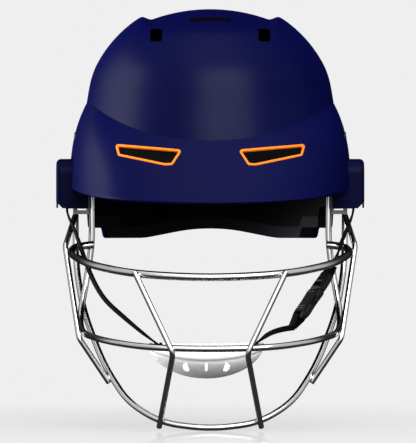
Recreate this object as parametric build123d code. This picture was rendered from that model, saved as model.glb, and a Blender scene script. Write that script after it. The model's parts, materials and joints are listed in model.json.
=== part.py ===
from build123d import *
from functools import cache
import math
import os

# A cricket helmet in millimetres. +Z is up, -Y is the front and +X is the wearer's left.
# The origin is the centre of the head opening, level with the shell's edge over the ears.

# Clearances shared by all the pieces
overrun = 6.0
seat_gap = 0.05
soft_gap = 0.3
hole_gap = 0.1
weld_sink = 0.3

# Outer shell
shell_half_width = 100.5
shell_front_length = 120.6
shell_rear_length = 127.6
shell_wall = 2.8
shell_widest_z = 22.0
shell_rise = 138.5
# Each pair is a share of the half width and a share of the rise
dome_profile_shares = (
    (0.0, 1.0),
    (0.516, 0.898),
    (0.702, 0.789),
    (0.825, 0.674),
    (0.882, 0.592),
    (0.933, 0.424),
    (0.990, 0.152),
    (1.0, 0.0),
)
dome_floor_z = -60.0

# Middle strip of the crown, sunk between two ridges
strip_top_z = 151.6
strip_long_radius = 187.0
strip_cross_radius = 129.0
strip_half_width = 45.0
ridge_half_width = 51.9
ridge_height = 2.9
strip_tool_height = 40.0

# Lower edge of the shell, seen from the side
brow_edge_z = 16.0
brow_edge_end_y = -29.0
ear_edge_z = 0.0
ear_edge_start_y = -24.0
ear_edge_end_y = 42.0
temple_edge_z = -14.7
temple_edge_end_y = 69.0
nape_edge_z = -22.6
edge_step_run = 3.0
edge_corner_radius = 5.0
brow_corner_radius = 2.4
nape_wave_top_z = -15.3
nape_wave_top_half_width = 14.0
nape_wave_foot_half_width = 57.0
nape_wave_sink = 1.0
nape_wave_half_width = 90.0
nape_wave_radius = 140.0

# Air openings in the crown
crown_slot_length = 31.0
crown_slot_width = 10.0
crown_slot_y = -59.0
crown_slot_radius = 2.0
crown_vent_width = 8.8
crown_vent_height = 10.0
crown_vent_x = 40.4
front_crown_vent_z = 129.5
rear_crown_vent_z = 122.0
crown_vent_radius = 1.6

# Peak
peak_half_width = 106.2
peak_front_length = 163.0
peak_rear_margin = 5.6
peak_plan_power = 2.6
peak_wall = 2.6
peak_top_edge_wall = 0.9
peak_seat_gap = 0.15
peak_crease_z = 50.0
peak_side_crease_z = 79.5
peak_tail_z = 44.0
peak_rim_z = 4.7
peak_rim_side_rise = 14.0
peak_rim_nose = 0.7
peak_side_angle = 80.0
peak_tail_angle = 106.0
peak_section_count = 17
peak_level_shares = (0.0, 0.1, 0.25, 0.5, 0.75, 1.0)
peak_taper_share = 0.3

# Rivets of the peak's wings, each pair a rivet's y and z
rivet_places = ((-33.0, 54.0), (7.0, 52.0))
rivet_radius = 1.8
rivet_head_radius = 3.6
rivet_head_sink = 0.5
rivet_head_proud = 0.8
rivet_tail_length = 1.2

# Peak vents with their coloured frames
vent_inner_x = 20.4
vent_width = 50.2
vent_bottom_z = 31.4
vent_height = 16.3
# Each pair is a share of the vent's width and a share of its height
vent_outline_shares = ((0.0, 0.724), (0.147, 0.02), (0.257, 0.0), (0.95, 0.454), (1.0, 1.0))
vent_corner_radius = 1.8
vent_frame_width = 1.6
vent_frame_proud = 0.5
vent_insert_recess = 1.0

# Impact liner
liner_half_width = 91.0
liner_front_length = 104.0
liner_rear_length = 110.0
liner_rise = 108.0
liner_edge_lift = 1.5
liner_rim_z = 0.6

# Moulded trim round the rear lower edge
rim_trim_height = 7.5
rim_trim_start_y = 46.0

# Comfort pads
pad_thickness = 7.5
pad_draw_angle = 24.0
pad_groove_width = 3.0
pad_groove_depth = 2.4
pad_corner_radius = 10.0
pad_tool_depth = 60.0
pad_groove_share = 0.25
side_pad_length = 66.0
side_pad_height = 46.0
side_pad_y = 8.0
side_pad_z = 36.0
front_pad_width = 104.0
front_pad_height = 24.0
front_pad_z = 34.0
rear_pad_width = 124.0
rear_pad_height = 44.0
rear_pad_z = 15.5
crown_pad_length = 104.0
crown_pad_width = 74.0
crown_pad_y = 4.0

# Ear guards
guard_outer_x = 115.8
guard_front_y = -50.0
guard_rear_y = 45.0
guard_bottom_z = 0.2
guard_top_z = 37.4
guard_wall = 2.8
guard_edge_radius = 3.6
guard_corner_radius = 11.0
guard_chamfer = 5.0
guard_boss_radius = 4.2
# Each pair is a boss's y and z
guard_boss_places = ((-41.5, 27.5), (34.0, 21.0))
guard_screw_radius = 2.0
guard_screw_head_radius = 3.4
guard_screw_head_sink = 1.8
guard_nut_width = 7.0
guard_nut_thickness = 3.0

# Steel bracket at each side of the grille
bracket_plate = 2.0
bracket_outer_x = 103.3
bracket_front_y = -36.5
bracket_rear_y = 16.0
bracket_bottom_z = -4.2
bracket_top_z = 31.0
bracket_corner_radius = 8.0
bracket_web = 3.0
bracket_web_rear_y = -29.5
bracket_tab_x = 91.3
bracket_tab_top_z = 12.5

# Grille screws
screw_radius = 2.45
screw_head_radius = 4.5
screw_head_height = 2.4
screw_tip_x = 92.5
screw_socket_width = 3.0
screw_socket_depth = 1.4
screw_nut_width = 8.0
screw_nut_thickness = 3.2
screw_washer_radius = 5.0
screw_washer_thickness = 0.6
pivot_y = -12.0
pivot_z = 22.0
lock_spacing = 20.0
lock_slot_travel = 1.5

# Grille bars
top_bar_diameter = 5.8
middle_bar_diameter = 4.8
hoop_diameter = 4.7
rod_diameter = 4.1
rod_bend_radius = 8.0
rod_bend_reach = 4.5
rod_overhang = 3.5
bend_share = 0.45

# Run of the grille: how far it reaches out, forward and down, and shares of these for its bars
grille_half_width = 105.0
grille_front_length = 151.0
grille_drop = 162.9
leg_y = -33.0
leg_foot_z = -27.4
top_bar_end_z = -27.0
top_bar_shares = (
    (0.967, 0.262, 0.177),
    (1.002, 0.437, 0.204),
    (0.865, 0.669, 0.254),
    (0.541, 0.921, 0.296),
    (0.0, 1.0, 0.314),
)
middle_bar_shares = (
    (0.888, 0.228, 0.332),
    (0.933, 0.298, 0.495),
    (0.914, 0.503, 0.571),
    (0.731, 0.775, 0.602),
    (0.438, 0.947, 0.627),
    (0.0, 0.997, 0.633),
)
hoop_shares = (
    (0.968, 0.106, 0.260),
    (0.910, 0.264, 0.470),
    (0.758, 0.444, 0.717),
    (0.581, 0.616, 0.884),
    (0.343, 0.722, 0.974),
    (0.0, 0.762, 1.0),
)
hoop_end_y = -12.0
# How far forward the rods are welded to the top bar, the middle bar and the hoop
side_rod_weld_shares = (0.358, 0.507, 0.497)
front_rod_weld_shares = (0.908, 0.966, 0.713)
side_rod_end_y = -20.0

# Chin straps
strap_width = 11.0
strap_thickness = 1.6
strap_stud_y = -36.0
strap_stud_z = 5.5
strap_top_x = 107.9
stud_radius = 2.0
stud_head_radius = 4.5
stud_head_thickness = 1.4
stud_collar_radius = 3.6
stud_cap_radius = 5.0
stud_cap_depth = 1.2

# Side release buckle
buckle_width = 19.0
buckle_thickness = 7.0
buckle_wall = 1.3
socket_length = 27.0
plug_body_length = 15.0
plug_body_thickness = 5.6
guide_length = 15.5
prong_width = 3.0
prong_thickness = 3.2
prong_hook = 1.7
prong_hook_length = 6.0
guide_width = 3.4
window_length = 8.0
window_start = 6.5
buckle_bar = 2.4
buckle_slot = 3.6
buckle_length = plug_body_length + soft_gap + socket_length
buckle_edge_radius = 1.6
buckle_turn = -20.0
socket_hollow = 17.5
prong_reach = 7.9
strap_gap = 0.25
strap_loop_length = 9.0
strap_loop_share = 0.75
strap_bend_run = 9.0
strap_stop_thickness = 5.2
strap_stop_length = 3.2
strap_stop_gap = 1.0
# Shares of the way from the stud to the cup, across, forward and down, and how far the strap turns
strap_right_shares = (
    (0.003, 0.030, 0.065, 0),
    (0.061, 0.207, 0.165, 6),
    (0.179, 0.511, 0.340, 12),
    (0.314, 0.609, 0.555, 14),
    (0.489, 0.717, 0.733, 14),
    (0.697, 0.870, 0.850, 14),
)
strap_lead_length = 5.5
# Shares of the way from the stud to the buckle
strap_left_shares = (
    (0.010, 0.052, 0.118, 0),
    (0.213, 0.394, 0.344, 6),
    (0.660, 0.871, 0.688, 12),
)
buckle_top_x = 87.6
buckle_top_y = -63.0
buckle_top_z = -49.6
buckle_foot_x = 63.0
buckle_foot_y = -78.0
buckle_foot_z = -86.0

# Chin cup
cup_centre_x = -3.0
cup_centre_y = -82.0
cup_half_width = 44.0
cup_front_length = 26.0
cup_rear_length = 20.0
cup_top_z = -97.5
cup_depth = 29.1
cup_wall = 2.4
cup_front_edge_z = -110.5
cup_rear_edge_z = -101.5
cup_slot_width = 2.2
cup_slot_height = 7.0
cup_slot_pitch = 14.8
cup_slot_z = -117.5
cup_lug_width = 9.0
cup_lug_length = 17.0
cup_lug_height = 8.0
cup_lug_slot_height = 4.4
cup_lug_gap = 1.4
cup_lug_radius = 2.0
cup_lug_plate = 2.4
cup_lug_reach = 37.5
cup_lug_root = 3.5
cup_joint_drop = 2.5
cup_joint_lead = 3.0
cup_entry_x_share = 0.8
cup_entry_z_share = 0.6
cup_edge_radius = 240.0


def mirrored(shape):
    """The same shape on the other side of the helmet."""
    return mirror(shape, about=Plane.YZ)


def dome_curve(half_width, rise):
    """The dome's outline from its top to its widest level, in the XZ plane."""
    points = [(half_width * a, shell_widest_z + rise * b) for a, b in dome_profile_shares]
    return Spline(*points, tangents=[(1, 0), (0, -1)])


def dome_solid(half_width, front_length, rear_length, rise, floor_z):
    """A solid dome, round in plan and stretched separately to the front and the rear."""
    curve = dome_curve(half_width, rise)
    side = Line((half_width, shell_widest_z), (half_width, floor_z))
    base = Line((half_width, floor_z), (0, floor_z))
    axis = Line((0, floor_z), (0, shell_widest_z + rise))
    face = Plane.XZ * make_face(curve + side + base + axis)
    half = revolve(face, Axis.Z, 180)
    rear = scale(half, by=(1, rear_length / half_width, 1))
    front = scale(Rot(0, 0, 180) * half, by=(1, front_length / half_width, 1))
    return front + rear


@cache
def shell_dome(inset, floor_z=dome_floor_z):
    """The shell's outer shape without its middle strip, shrunk evenly by inset."""
    return dome_solid(
        shell_half_width - inset,
        shell_front_length - inset,
        shell_rear_length - inset,
        shell_rise - inset,
        floor_z,
    )


def strip_tool(inset):
    """What is taken from the dome to leave the sunken middle strip, inset mm further in."""
    radius = strip_long_radius - inset
    half = strip_half_width + inset
    ridge = ridge_half_width + inset
    low = radius - strip_cross_radius + math.sqrt(strip_cross_radius**2 - half**2)
    slope = ridge_height / (ridge_half_width - strip_half_width)
    outer = ridge + strip_tool_height
    outer_level = low + ridge_height + slope * strip_tool_height
    top = outer_level + strip_tool_height
    floor = ThreePointArc((-half, low), (0, radius), (half, low))
    rest = Polyline(
        (half, low),
        (outer, outer_level),
        (outer, top),
        (-outer, top),
        (-outer, outer_level),
        (-half, low),
    )
    ring = revolve(Plane.XZ * make_face(floor + rest), Axis.X, 360)
    return Pos(0, 0, strip_top_z - strip_long_radius) * ring


@cache
def crowned_dome(inset):
    """The shell's outer shape with its middle strip, shrunk evenly by inset."""
    return shell_dome(inset) - strip_tool(inset)


@cache
def below_edge(lift, rear_lift=0):
    """The space under the shell's lower edge, raised by lift, and by rear_lift behind the ears."""
    far = shell_rear_length + overrun
    low = dome_floor_z - overrun
    near = -shell_front_length - overrun
    rear = lift + rear_lift
    line = FilletPolyline(
        (near, brow_edge_z + lift),
        (brow_edge_end_y, brow_edge_z + lift),
        (ear_edge_start_y, ear_edge_z + lift),
        (ear_edge_end_y, ear_edge_z + lift),
        (ear_edge_end_y + edge_step_run, temple_edge_z + rear),
        (temple_edge_end_y, temple_edge_z + rear),
        (temple_edge_end_y + edge_step_run, nape_edge_z + rear),
        (far, nape_edge_z + rear),
        radius=[
            brow_corner_radius,
            brow_corner_radius,
            edge_corner_radius,
            brow_corner_radius,
            brow_corner_radius,
            brow_corner_radius,
        ],
    )
    rest = Polyline((far, nape_edge_z + rear), (far, low), (near, low), (near, brow_edge_z + lift))
    side = Plane.YZ * make_face(line + rest)
    under = extrude(side, amount=shell_half_width + overrun, both=True)
    foot = nape_edge_z + rear - nape_wave_sink
    half_wave = [
        (nape_wave_half_width, foot),
        (nape_wave_foot_half_width, foot),
        (nape_wave_top_half_width, nape_wave_top_z + rear),
    ]
    wave_places = half_wave + [(-x, z) for x, z in reversed(half_wave)]
    wave_line = FilletPolyline(*wave_places, radius=nape_wave_radius)
    wave_rest = Polyline(
        (-nape_wave_half_width, foot),
        (-nape_wave_half_width, low),
        (nape_wave_half_width, low),
        (nape_wave_half_width, foot),
    )
    wave_face = Plane.XZ * make_face(wave_line + wave_rest)
    wave = extrude(wave_face, amount=far + overrun, dir=(0, 1, 0))
    return under + wave


def crown_slot_tool():
    """A block through the crown for the middle air slot."""
    face = RectangleRounded(crown_slot_length, crown_slot_width, crown_slot_radius)
    return Pos(0, crown_slot_y, shell_widest_z) * extrude(face, amount=shell_rise)


def crown_vent_tools():
    """Blocks through the shell for the small air openings at the ends of the grooves."""
    face = RectangleRounded(crown_vent_width, crown_vent_height, crown_vent_radius)
    tools = []
    for side in (-1, 1):
        place = Plane.XZ * Pos(side * crown_vent_x, front_crown_vent_z) * face
        tools.append(extrude(place, amount=shell_front_length))
        place = Plane.XZ * Pos(side * crown_vent_x, rear_crown_vent_z) * face
        tools.append(extrude(place, amount=-shell_rear_length))
    return tools


def cross_hole(radius, y, z, start_x, end_x):
    """A round rod along X from start_x to end_x."""
    return Pos(start_x, y, z) * extrude(Plane.YZ * Circle(radius), amount=end_x - start_x)


def hexagon_bar(across_flats, y, z, start_x, end_x):
    """A hexagonal rod along X from start_x to end_x."""
    face = RegularPolygon(across_flats / 2, 6, major_radius=False)
    return Pos(start_x, y, z) * extrude(Plane.YZ * face, amount=end_x - start_x)


def shell_side_x(y, inset=0, z=shell_widest_z):
    """How far out the shell's side is, less inset, at a place along its length and height."""
    length = shell_front_length if y < 0 else shell_rear_length
    level_share = profile_half_width(z) / shell_half_width
    share = y / (length * level_share - inset)
    return (shell_half_width * level_share - inset) * math.sqrt(1 - share**2)


def fixing_places():
    """The y, z and hole radius of every screw that goes through one side of the shell."""
    places = [(y, z, guard_screw_radius + hole_gap) for y, z in guard_boss_places]
    places.append((pivot_y, pivot_z, screw_radius + hole_gap))
    places.append((pivot_y + lock_spacing, pivot_z, screw_radius + hole_gap))
    return places + [(y, z, rivet_radius + hole_gap) for y, z in rivet_places]


def outer_shell():
    """The hard outer shell."""
    shell = crowned_dome(0) - crowned_dome(shell_wall) - below_edge(0)
    shell = shell - crown_slot_tool() - crown_vent_tools()
    reach = shell_half_width + overrun
    holes = [cross_hole(radius, y, z, -reach, reach) for y, z, radius in fixing_places()]
    return shell - holes


@cache
def profile_half_width(z):
    """The dome's half width at height z, found on its outline."""
    if z <= shell_widest_z:
        return shell_half_width
    curve = dome_curve(shell_half_width, shell_rise)
    low, high = 0.0, 1.0
    for _ in range(30):
        middle = (low + high) / 2
        if (curve @ middle).Y > z:
            low = middle
        else:
            high = middle
    return (curve @ low).X


def plan_reach(half_width, length, power, angle):
    """How far a rounded plan reaches at an angle from straight ahead."""
    across = abs(math.sin(angle) / half_width) ** power
    along = abs(math.cos(angle) / length) ** power
    return (across + along) ** (-1 / power)


def peak_point(angle, share):
    """The reach and height of the peak's outer face at an angle and a share of its height."""
    ahead = math.cos(angle)
    shell_length = shell_front_length if ahead > 0 else shell_rear_length
    rim_length = peak_front_length if ahead > 0 else shell_rear_length + peak_rear_margin
    turn = abs(math.degrees(angle))
    climb = peak_side_crease_z - peak_crease_z
    top = peak_crease_z + climb * math.sin(math.radians(90 * min(1, turn / peak_side_angle))) ** 2
    past = max(0, turn - peak_side_angle) / (peak_tail_angle - peak_side_angle)
    top = top - (peak_side_crease_z - peak_tail_z) * past**2
    rim = peak_rim_z + peak_rim_side_rise * math.sin(angle) ** 2
    height = top + share * (rim - top)
    length_share = shell_length / shell_half_width
    width = profile_half_width(height)
    base = plan_reach(width, width * length_share, 2, angle)
    rim_width = profile_half_width(rim)
    rim_base = plan_reach(rim_width, rim_width * length_share, 2, angle)
    start = peak_top_edge_wall + peak_seat_gap
    spread = plan_reach(peak_half_width, rim_length, peak_plan_power, angle) - rim_base - start
    flare = ahead**2 * share**1.15 + (1 - ahead**2) * (1 - (1 - share) ** 4)
    return base + start + spread * flare, height, base


def peak_section(angle, outward, inward):
    """A slice of the peak: outward moves its outer face out and inward moves its inner face in."""
    step = 0.001
    outside = []
    inside = []
    for share in peak_level_shares:
        reach, height, base = peak_point(angle, share)
        before = peak_point(angle, max(0, share - step))
        after = peak_point(angle, min(1, share + step))
        along = Vector(after[0] - before[0], after[1] - before[1]).normalized()
        normal = Vector(-along.Y, along.X)
        taper = min(1, share / peak_taper_share)
        wall = peak_top_edge_wall + (peak_wall - peak_top_edge_wall) * taper
        outside.append(Vector(reach, height) + normal * max(outward, outward * taper))
        inner = Vector(reach, height) - normal * (wall - inward)
        inside.append(Vector(max(inner.X, base + peak_seat_gap), inner.Y))
    rim_middle = (outside[-1] + inside[-1]) / 2
    rim_along = (outside[-1] - outside[-2]).normalized()
    nose = rim_middle + rim_along * peak_rim_nose
    edges = Spline(*outside) + ThreePointArc(outside[-1], nose, inside[-1])
    edges = edges + Spline(*reversed(inside)) + Line(inside[0], outside[0])
    plane = Plane(
        origin=(0, 0, 0),
        x_dir=(math.sin(angle), -math.cos(angle), 0),
        z_dir=(-math.cos(angle), -math.sin(angle), 0),
    )
    return plane * make_face(edges)


@cache
def peak_layer(outward, inward):
    """The peak as a solid, with its faces moved by outward and inward."""
    last = math.radians(peak_tail_angle)
    steps = peak_section_count - 1
    angles = [last * (2 * i / steps - 1) for i in range(peak_section_count)]
    return loft([peak_section(angle, outward, inward) for angle in angles])


def vent_face(side, shrink):
    """The outline of a peak vent seen from the front, made smaller by shrink."""
    points = [
        (side * (vent_inner_x + vent_width * a), vent_bottom_z + vent_height * b)
        for a, b in vent_outline_shares
    ]
    face = make_face(FilletPolyline(*points, radius=vent_corner_radius, close=True))
    if shrink:
        face = offset(face, amount=-shrink)
    return Plane.XZ * face


@cache
def vent_prism(side, shrink):
    """A block the shape of a peak vent, through the peak from the front."""
    return extrude(vent_face(side, shrink), amount=peak_front_length + overrun)


def peak():
    """The moulded peak that wraps the front of the shell."""
    body = peak_layer(0, 0)
    for side in (-1, 1):
        body = body - vent_prism(side, -seat_gap)
    rear = shell_rear_length + overrun
    length = rear - guard_front_y + soft_gap
    height = guard_top_z + soft_gap - dome_floor_z
    middle_y = guard_front_y - soft_gap + length / 2
    notch = Box(2 * peak_front_length, length, height)
    body = body - Pos(0, middle_y, dome_floor_z + height / 2) * notch
    reach = peak_half_width + overrun
    for y, z in rivet_places:
        body = body - cross_hole(rivet_radius + seat_gap, y, z, -reach, reach)
        top = wing_outside_x(y, z) - rivet_head_sink - seat_gap
        for start, end in ((top, reach), (-reach, -top)):
            body = body - cross_hole(rivet_head_radius + seat_gap, y, z, start, end)
    return body


@cache
def wing_outside_x(y, z):
    """How far out the peak's wing reaches on the +X side at a place along its length and height."""
    line = Edge.make_line((shell_half_width / 2, y, z), (peak_half_width + overrun, y, z))
    return max(vertex.X for vertex in (line & peak_layer(0, 0)).vertices())


def peak_rivets():
    """The rivets that hold the peak's +X wing to the shell."""
    rivets = []
    for y, z in rivet_places:
        top = wing_outside_x(y, z)
        corner = y + math.copysign(rivet_head_radius, y)
        foot = shell_side_x(corner, shell_wall, z + rivet_head_radius)
        head = cross_hole(rivet_head_radius, y, z, top - rivet_head_sink, top + rivet_head_proud)
        head = fillet(head.edges().sort_by(Axis.X)[-1], rivet_head_proud / 2)
        tail = cross_hole(rivet_head_radius, y, z, foot - rivet_tail_length, foot - seat_gap)
        shank = cross_hole(rivet_radius, y, z, foot - rivet_tail_length, top)
        rivets.append(head + tail + shank)
    return Compound(rivets)


def vent_frame(side):
    """The coloured frame round a peak vent."""
    ring = vent_prism(side, 0) - vent_prism(side, vent_frame_width)
    return ring & peak_layer(vent_frame_proud, 0)


def vent_insert(side):
    """The dark panel set back inside a peak vent."""
    return vent_prism(side, vent_frame_width + seat_gap) & peak_layer(-vent_insert_recess, 0)


@cache
def liner_dome(inset, floor_z=dome_floor_z):
    """The hollow for the head inside the liner, shrunk by inset."""
    return dome_solid(
        liner_half_width - inset,
        liner_front_length - inset,
        liner_rear_length - inset,
        liner_rise - inset,
        floor_z,
    )


def liner_outside():
    """The outer face of what lines the shell."""
    return crowned_dome(shell_wall + seat_gap)


def impact_liner():
    """The hard foam liner with its air passages and nut pockets."""
    liner = liner_outside() - liner_dome(0)
    liner = liner - below_edge(liner_edge_lift, rim_trim_height)
    liner = liner - crown_slot_tool() - crown_vent_tools()
    reach = shell_half_width
    for y, z, radius in fixing_places():
        pocket = max(guard_nut_width, screw_nut_width) / math.sqrt(3) + soft_gap
        liner = liner - cross_hole(pocket, y, z, -reach, reach)
    return liner


def rear_rim_trim():
    """The moulded trim between shell and liner round the rear lower edge."""
    band = liner_outside() - liner_dome(0) - below_edge(liner_rim_z)
    band = band & below_edge(liner_edge_lift - seat_gap, rim_trim_height)
    depth = shell_rear_length + overrun
    behind = Pos(0, rim_trim_start_y + depth / 2, 0) * Box(2 * depth, depth, 2 * depth)
    return band & behind


def pad_block(width, height, radius, grooves):
    """A rounded block that narrows towards the head, and the slabs that groove it."""
    face = RectangleRounded(width, height, radius)
    block = extrude(face, amount=pad_tool_depth, taper=pad_draw_angle)
    slabs = [
        Pos(width * share, 0, 0) * Box(pad_groove_width, 2 * height, 4 * pad_tool_depth)
        for share in grooves
    ]
    return block, slabs


def shaped_pad(block, slabs, seat, face_dome, groove_dome):
    """A pad between its seat on the liner and a flatter face, with sewn grooves."""
    pad = (block & seat) - face_dome
    for slab in slabs:
        pad = pad - (slab & groove_dome)
    return pad


def side_pad():
    """The cheek and temple pad on the +X side."""
    block, slabs = pad_block(side_pad_length, side_pad_height, pad_corner_radius, (-0.17, 0.17))
    plane = Plane(origin=(liner_half_width, side_pad_y, side_pad_z), x_dir=(0, 1, 0), z_dir=(-1, 0, 0))
    inner = liner_half_width - pad_thickness
    flat = 2 * liner_front_length
    face_dome = dome_solid(inner, flat, flat, liner_rise, dome_floor_z)
    deep = inner + pad_groove_depth
    groove_dome = dome_solid(deep, flat, flat, liner_rise, dome_floor_z)
    slabs = [plane * slab for slab in slabs]
    return shaped_pad(plane * block, slabs, liner_dome(soft_gap), face_dome, groove_dome)


def end_pad(width, height, z, length, facing, grooves):
    """A pad across the front, facing -1, or the rear, facing 1."""
    block, slabs = pad_block(width, height, pad_corner_radius, grooves)
    plane = Plane(origin=(0, facing * length, z), x_dir=(1, 0, 0), z_dir=(0, -facing, 0))
    inner = length - pad_thickness
    broad = liner_half_width + pad_thickness
    face_dome = dome_solid(broad, inner, inner, liner_rise, dome_floor_z)
    deep = inner + pad_groove_depth
    groove_dome = dome_solid(broad + pad_groove_depth, deep, deep, liner_rise, dome_floor_z)
    slabs = [plane * slab for slab in slabs]
    return shaped_pad(plane * block, slabs, liner_dome(soft_gap), face_dome, groove_dome)


def crown_pad():
    """The pad at the top of the head."""
    block, slabs = pad_block(crown_pad_width, crown_pad_length, pad_corner_radius, (-0.17, 0.17))
    top = shell_widest_z + liner_rise
    plane = Plane(origin=(0, crown_pad_y, top), x_dir=(1, 0, 0), z_dir=(0, 0, -1))
    broad = liner_half_width + 2 * pad_thickness
    long = liner_rear_length + 2 * pad_thickness
    face_dome = dome_solid(broad, long, long, liner_rise - pad_thickness, dome_floor_z)
    groove_rise = liner_rise - pad_thickness + pad_groove_depth
    groove_dome = dome_solid(broad, long, long, groove_rise, dome_floor_z)
    slabs = [plane * slab for slab in slabs]
    return shaped_pad(plane * block, slabs, liner_dome(soft_gap), face_dome, groove_dome)


def ear_guard():
    """The hollow guard over the +X ear, open below and on the shell's side."""
    length = guard_rear_y - guard_front_y
    height = guard_top_z - guard_bottom_z
    middle = Plane(
        origin=(0, (guard_front_y + guard_rear_y) / 2, (guard_top_z + guard_bottom_z) / 2),
        x_dir=(0, 1, 0),
        z_dir=(1, 0, 0),
    )
    outside = extrude(middle * Rectangle(length, height), amount=guard_outer_x)
    upright = outside.edges().filter_by(Axis.X).group_by(Axis.Z)[-1]
    outside = fillet(upright, guard_corner_radius)
    outer_face = outside.faces().sort_by(Axis.X)[-1]
    low_edge = outer_face.edges().sort_by(Axis.Z)[0]
    outside = chamfer(low_edge, guard_chamfer)
    outer_face = outside.faces().sort_by(Axis.X)[-1]
    outside = fillet(outer_face.edges().sort_by(Axis.Z)[1:], guard_edge_radius)
    inner_length = length - 2 * guard_wall
    hollow_height = height - guard_wall + overrun
    hollow_face = middle * Pos(0, -(guard_wall + overrun) / 2) * Rectangle(inner_length, hollow_height)
    hollow = extrude(hollow_face, amount=guard_outer_x - guard_wall)
    hollow = fillet(
        hollow.edges().filter_by(Axis.X).group_by(Axis.Z)[-1], guard_corner_radius - guard_wall
    )
    guard = outside - hollow
    for y, z in guard_boss_places:
        start = shell_side_x(y) - overrun
        guard = guard + cross_hole(guard_boss_radius, y, z, start, guard_outer_x - guard_wall / 2)
    guard = guard - shell_dome(-seat_gap)
    for y, z in guard_boss_places:
        guard = guard - cross_hole(guard_screw_radius + hole_gap, y, z, 0, guard_outer_x + overrun)
        sink = guard_outer_x - guard_screw_head_sink
        head = guard_screw_head_radius + hole_gap
        guard = guard - cross_hole(head, y, z, sink, guard_outer_x + overrun)
    bore = stud_radius + hole_gap
    guard = guard - cross_hole(bore, strap_stud_y, strap_stud_z, 0, guard_outer_x + overrun)
    cap = stud_cap_radius + hole_gap
    recess = guard_outer_x - stud_cap_depth - seat_gap
    return guard - cross_hole(cap, strap_stud_y, strap_stud_z, recess, guard_outer_x + overrun)


def guard_screws():
    """The countersunk screws that hold the +X ear guard."""
    screws = []
    for y, z in guard_boss_places:
        top = guard_outer_x - seat_gap
        head_foot = guard_outer_x - guard_screw_head_sink + seat_gap
        tip = shell_side_x(y, shell_wall) - guard_nut_thickness - seat_gap
        head = cross_hole(guard_screw_head_radius, y, z, head_foot, top)
        head = fillet(head.edges().sort_by(Axis.X)[-1], guard_screw_head_sink / 3)
        socket = hexagon_bar(guard_screw_radius, y, z, head_foot + guard_screw_head_sink / 3, top + overrun)
        screws.append(head + cross_hole(guard_screw_radius, y, z, tip, head_foot) - socket)
    return Compound(screws)


def wall_nut(across_flats, thickness, screw, y, z):
    """A nut on a screw, flat against the inside of the shell's wall."""
    corner = across_flats / math.sqrt(3)
    end = shell_side_x(y + math.copysign(corner, y), shell_wall) - seat_gap
    nut = hexagon_bar(across_flats, y, z, end - thickness, end)
    return nut - cross_hole(screw + seat_gap, y, z, end - thickness - overrun, end + overrun)


def guard_nuts():
    """The nuts of the +X ear guard's screws."""
    nuts = []
    for y, z in guard_boss_places:
        nuts.append(wall_nut(guard_nut_width, guard_nut_thickness, guard_screw_radius, y, z))
    return Compound(nuts)


def grille_screw(y):
    """A socket screw through bracket and shell, with its head outside."""
    foot = bracket_outer_x + soft_gap
    top = foot + screw_head_height
    head = cross_hole(screw_head_radius, y, pivot_z, foot, top)
    head = fillet(head.edges().sort_by(Axis.X)[-1], screw_head_height / 4)
    socket = hexagon_bar(screw_socket_width, y, pivot_z, top - screw_socket_depth, top + overrun)
    return head + cross_hole(screw_radius, y, pivot_z, screw_tip_x, foot) - socket


def grille_nut(y):
    """The nut of a grille screw, inside the shell."""
    return wall_nut(screw_nut_width, screw_nut_thickness, screw_radius, y, pivot_z)


def grille_spacers():
    """The washers between shell and bracket on the +X grille screws."""
    washers = []
    for y in (pivot_y, pivot_y + lock_spacing):
        end = bracket_outer_x - bracket_plate - soft_gap / 2
        ring = cross_hole(screw_washer_radius, y, pivot_z, end - screw_washer_thickness, end)
        washers.append(ring - cross_hole(screw_radius + seat_gap, y, pivot_z, 0, end + overrun))
    return Compound(washers)


def mount_bracket():
    """The bent steel bracket on the +X side that carries the grille."""
    length = bracket_rear_y - bracket_front_y
    height = bracket_top_z - bracket_bottom_z
    middle = Plane(
        origin=(0, (bracket_front_y + bracket_rear_y) / 2, (bracket_top_z + bracket_bottom_z) / 2),
        x_dir=(0, 1, 0),
        z_dir=(1, 0, 0),
    )
    start = bracket_outer_x - bracket_plate
    face = middle * RectangleRounded(length, height, bracket_corner_radius)
    plate = Pos(start, 0, 0) * extrude(face, amount=bracket_plate)
    foot = Box(bracket_plate, bracket_web_rear_y - bracket_front_y, bracket_corner_radius)
    foot_z = bracket_bottom_z + bracket_corner_radius / 2
    web_y = (bracket_web_rear_y + bracket_front_y) / 2
    plate = plate + Pos(start + bracket_plate / 2, web_y, foot_z) * foot
    width = bracket_outer_x - bracket_tab_x
    web = Box(width, bracket_web_rear_y - bracket_front_y, bracket_web)
    web = Pos(bracket_outer_x - width / 2, web_y, bracket_bottom_z + bracket_web / 2) * web
    tab_height = bracket_tab_top_z - bracket_bottom_z
    tab = Box(bracket_plate, bracket_web_rear_y - bracket_front_y, tab_height)
    tab = Pos(bracket_tab_x + bracket_plate / 2, web_y, bracket_bottom_z + tab_height / 2) * tab
    bracket = plate + web + tab
    hole = screw_radius + hole_gap
    bracket = bracket - cross_hole(hole, pivot_y, pivot_z, start - overrun, start + overrun)
    slot = SlotOverall(2 * (hole + lock_slot_travel), 2 * hole)
    slot = extrude(Plane.YZ * Rot(0, 0, 90) * slot, amount=2 * overrun)
    return bracket - Pos(start - overrun, pivot_y + lock_spacing, pivot_z) * slot


def bent_path(points):
    """Straight runs joined by the largest arcs that they leave room for."""
    places = [Vector(*point) for point in points]
    radii = []
    for before, corner, after in zip(places, places[1:], places[2:]):
        half_turn = math.radians((corner - before).get_angle(after - corner)) / 2
        run = min((corner - before).length, (after - corner).length)
        radii.append(bend_share * run / math.tan(half_turn))
    return FilletPolyline(*places, radius=radii)


def bar(path, diameter):
    """A round bar along a path."""
    section = Plane(origin=path @ 0, z_dir=path % 0) * Circle(diameter / 2)
    return sweep(section, path)


def both_sides(points):
    """A half outline from the side to the middle, continued on the other side."""
    return points + [(-x, y, z) for x, y, z in reversed(points[:-1])]


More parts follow.
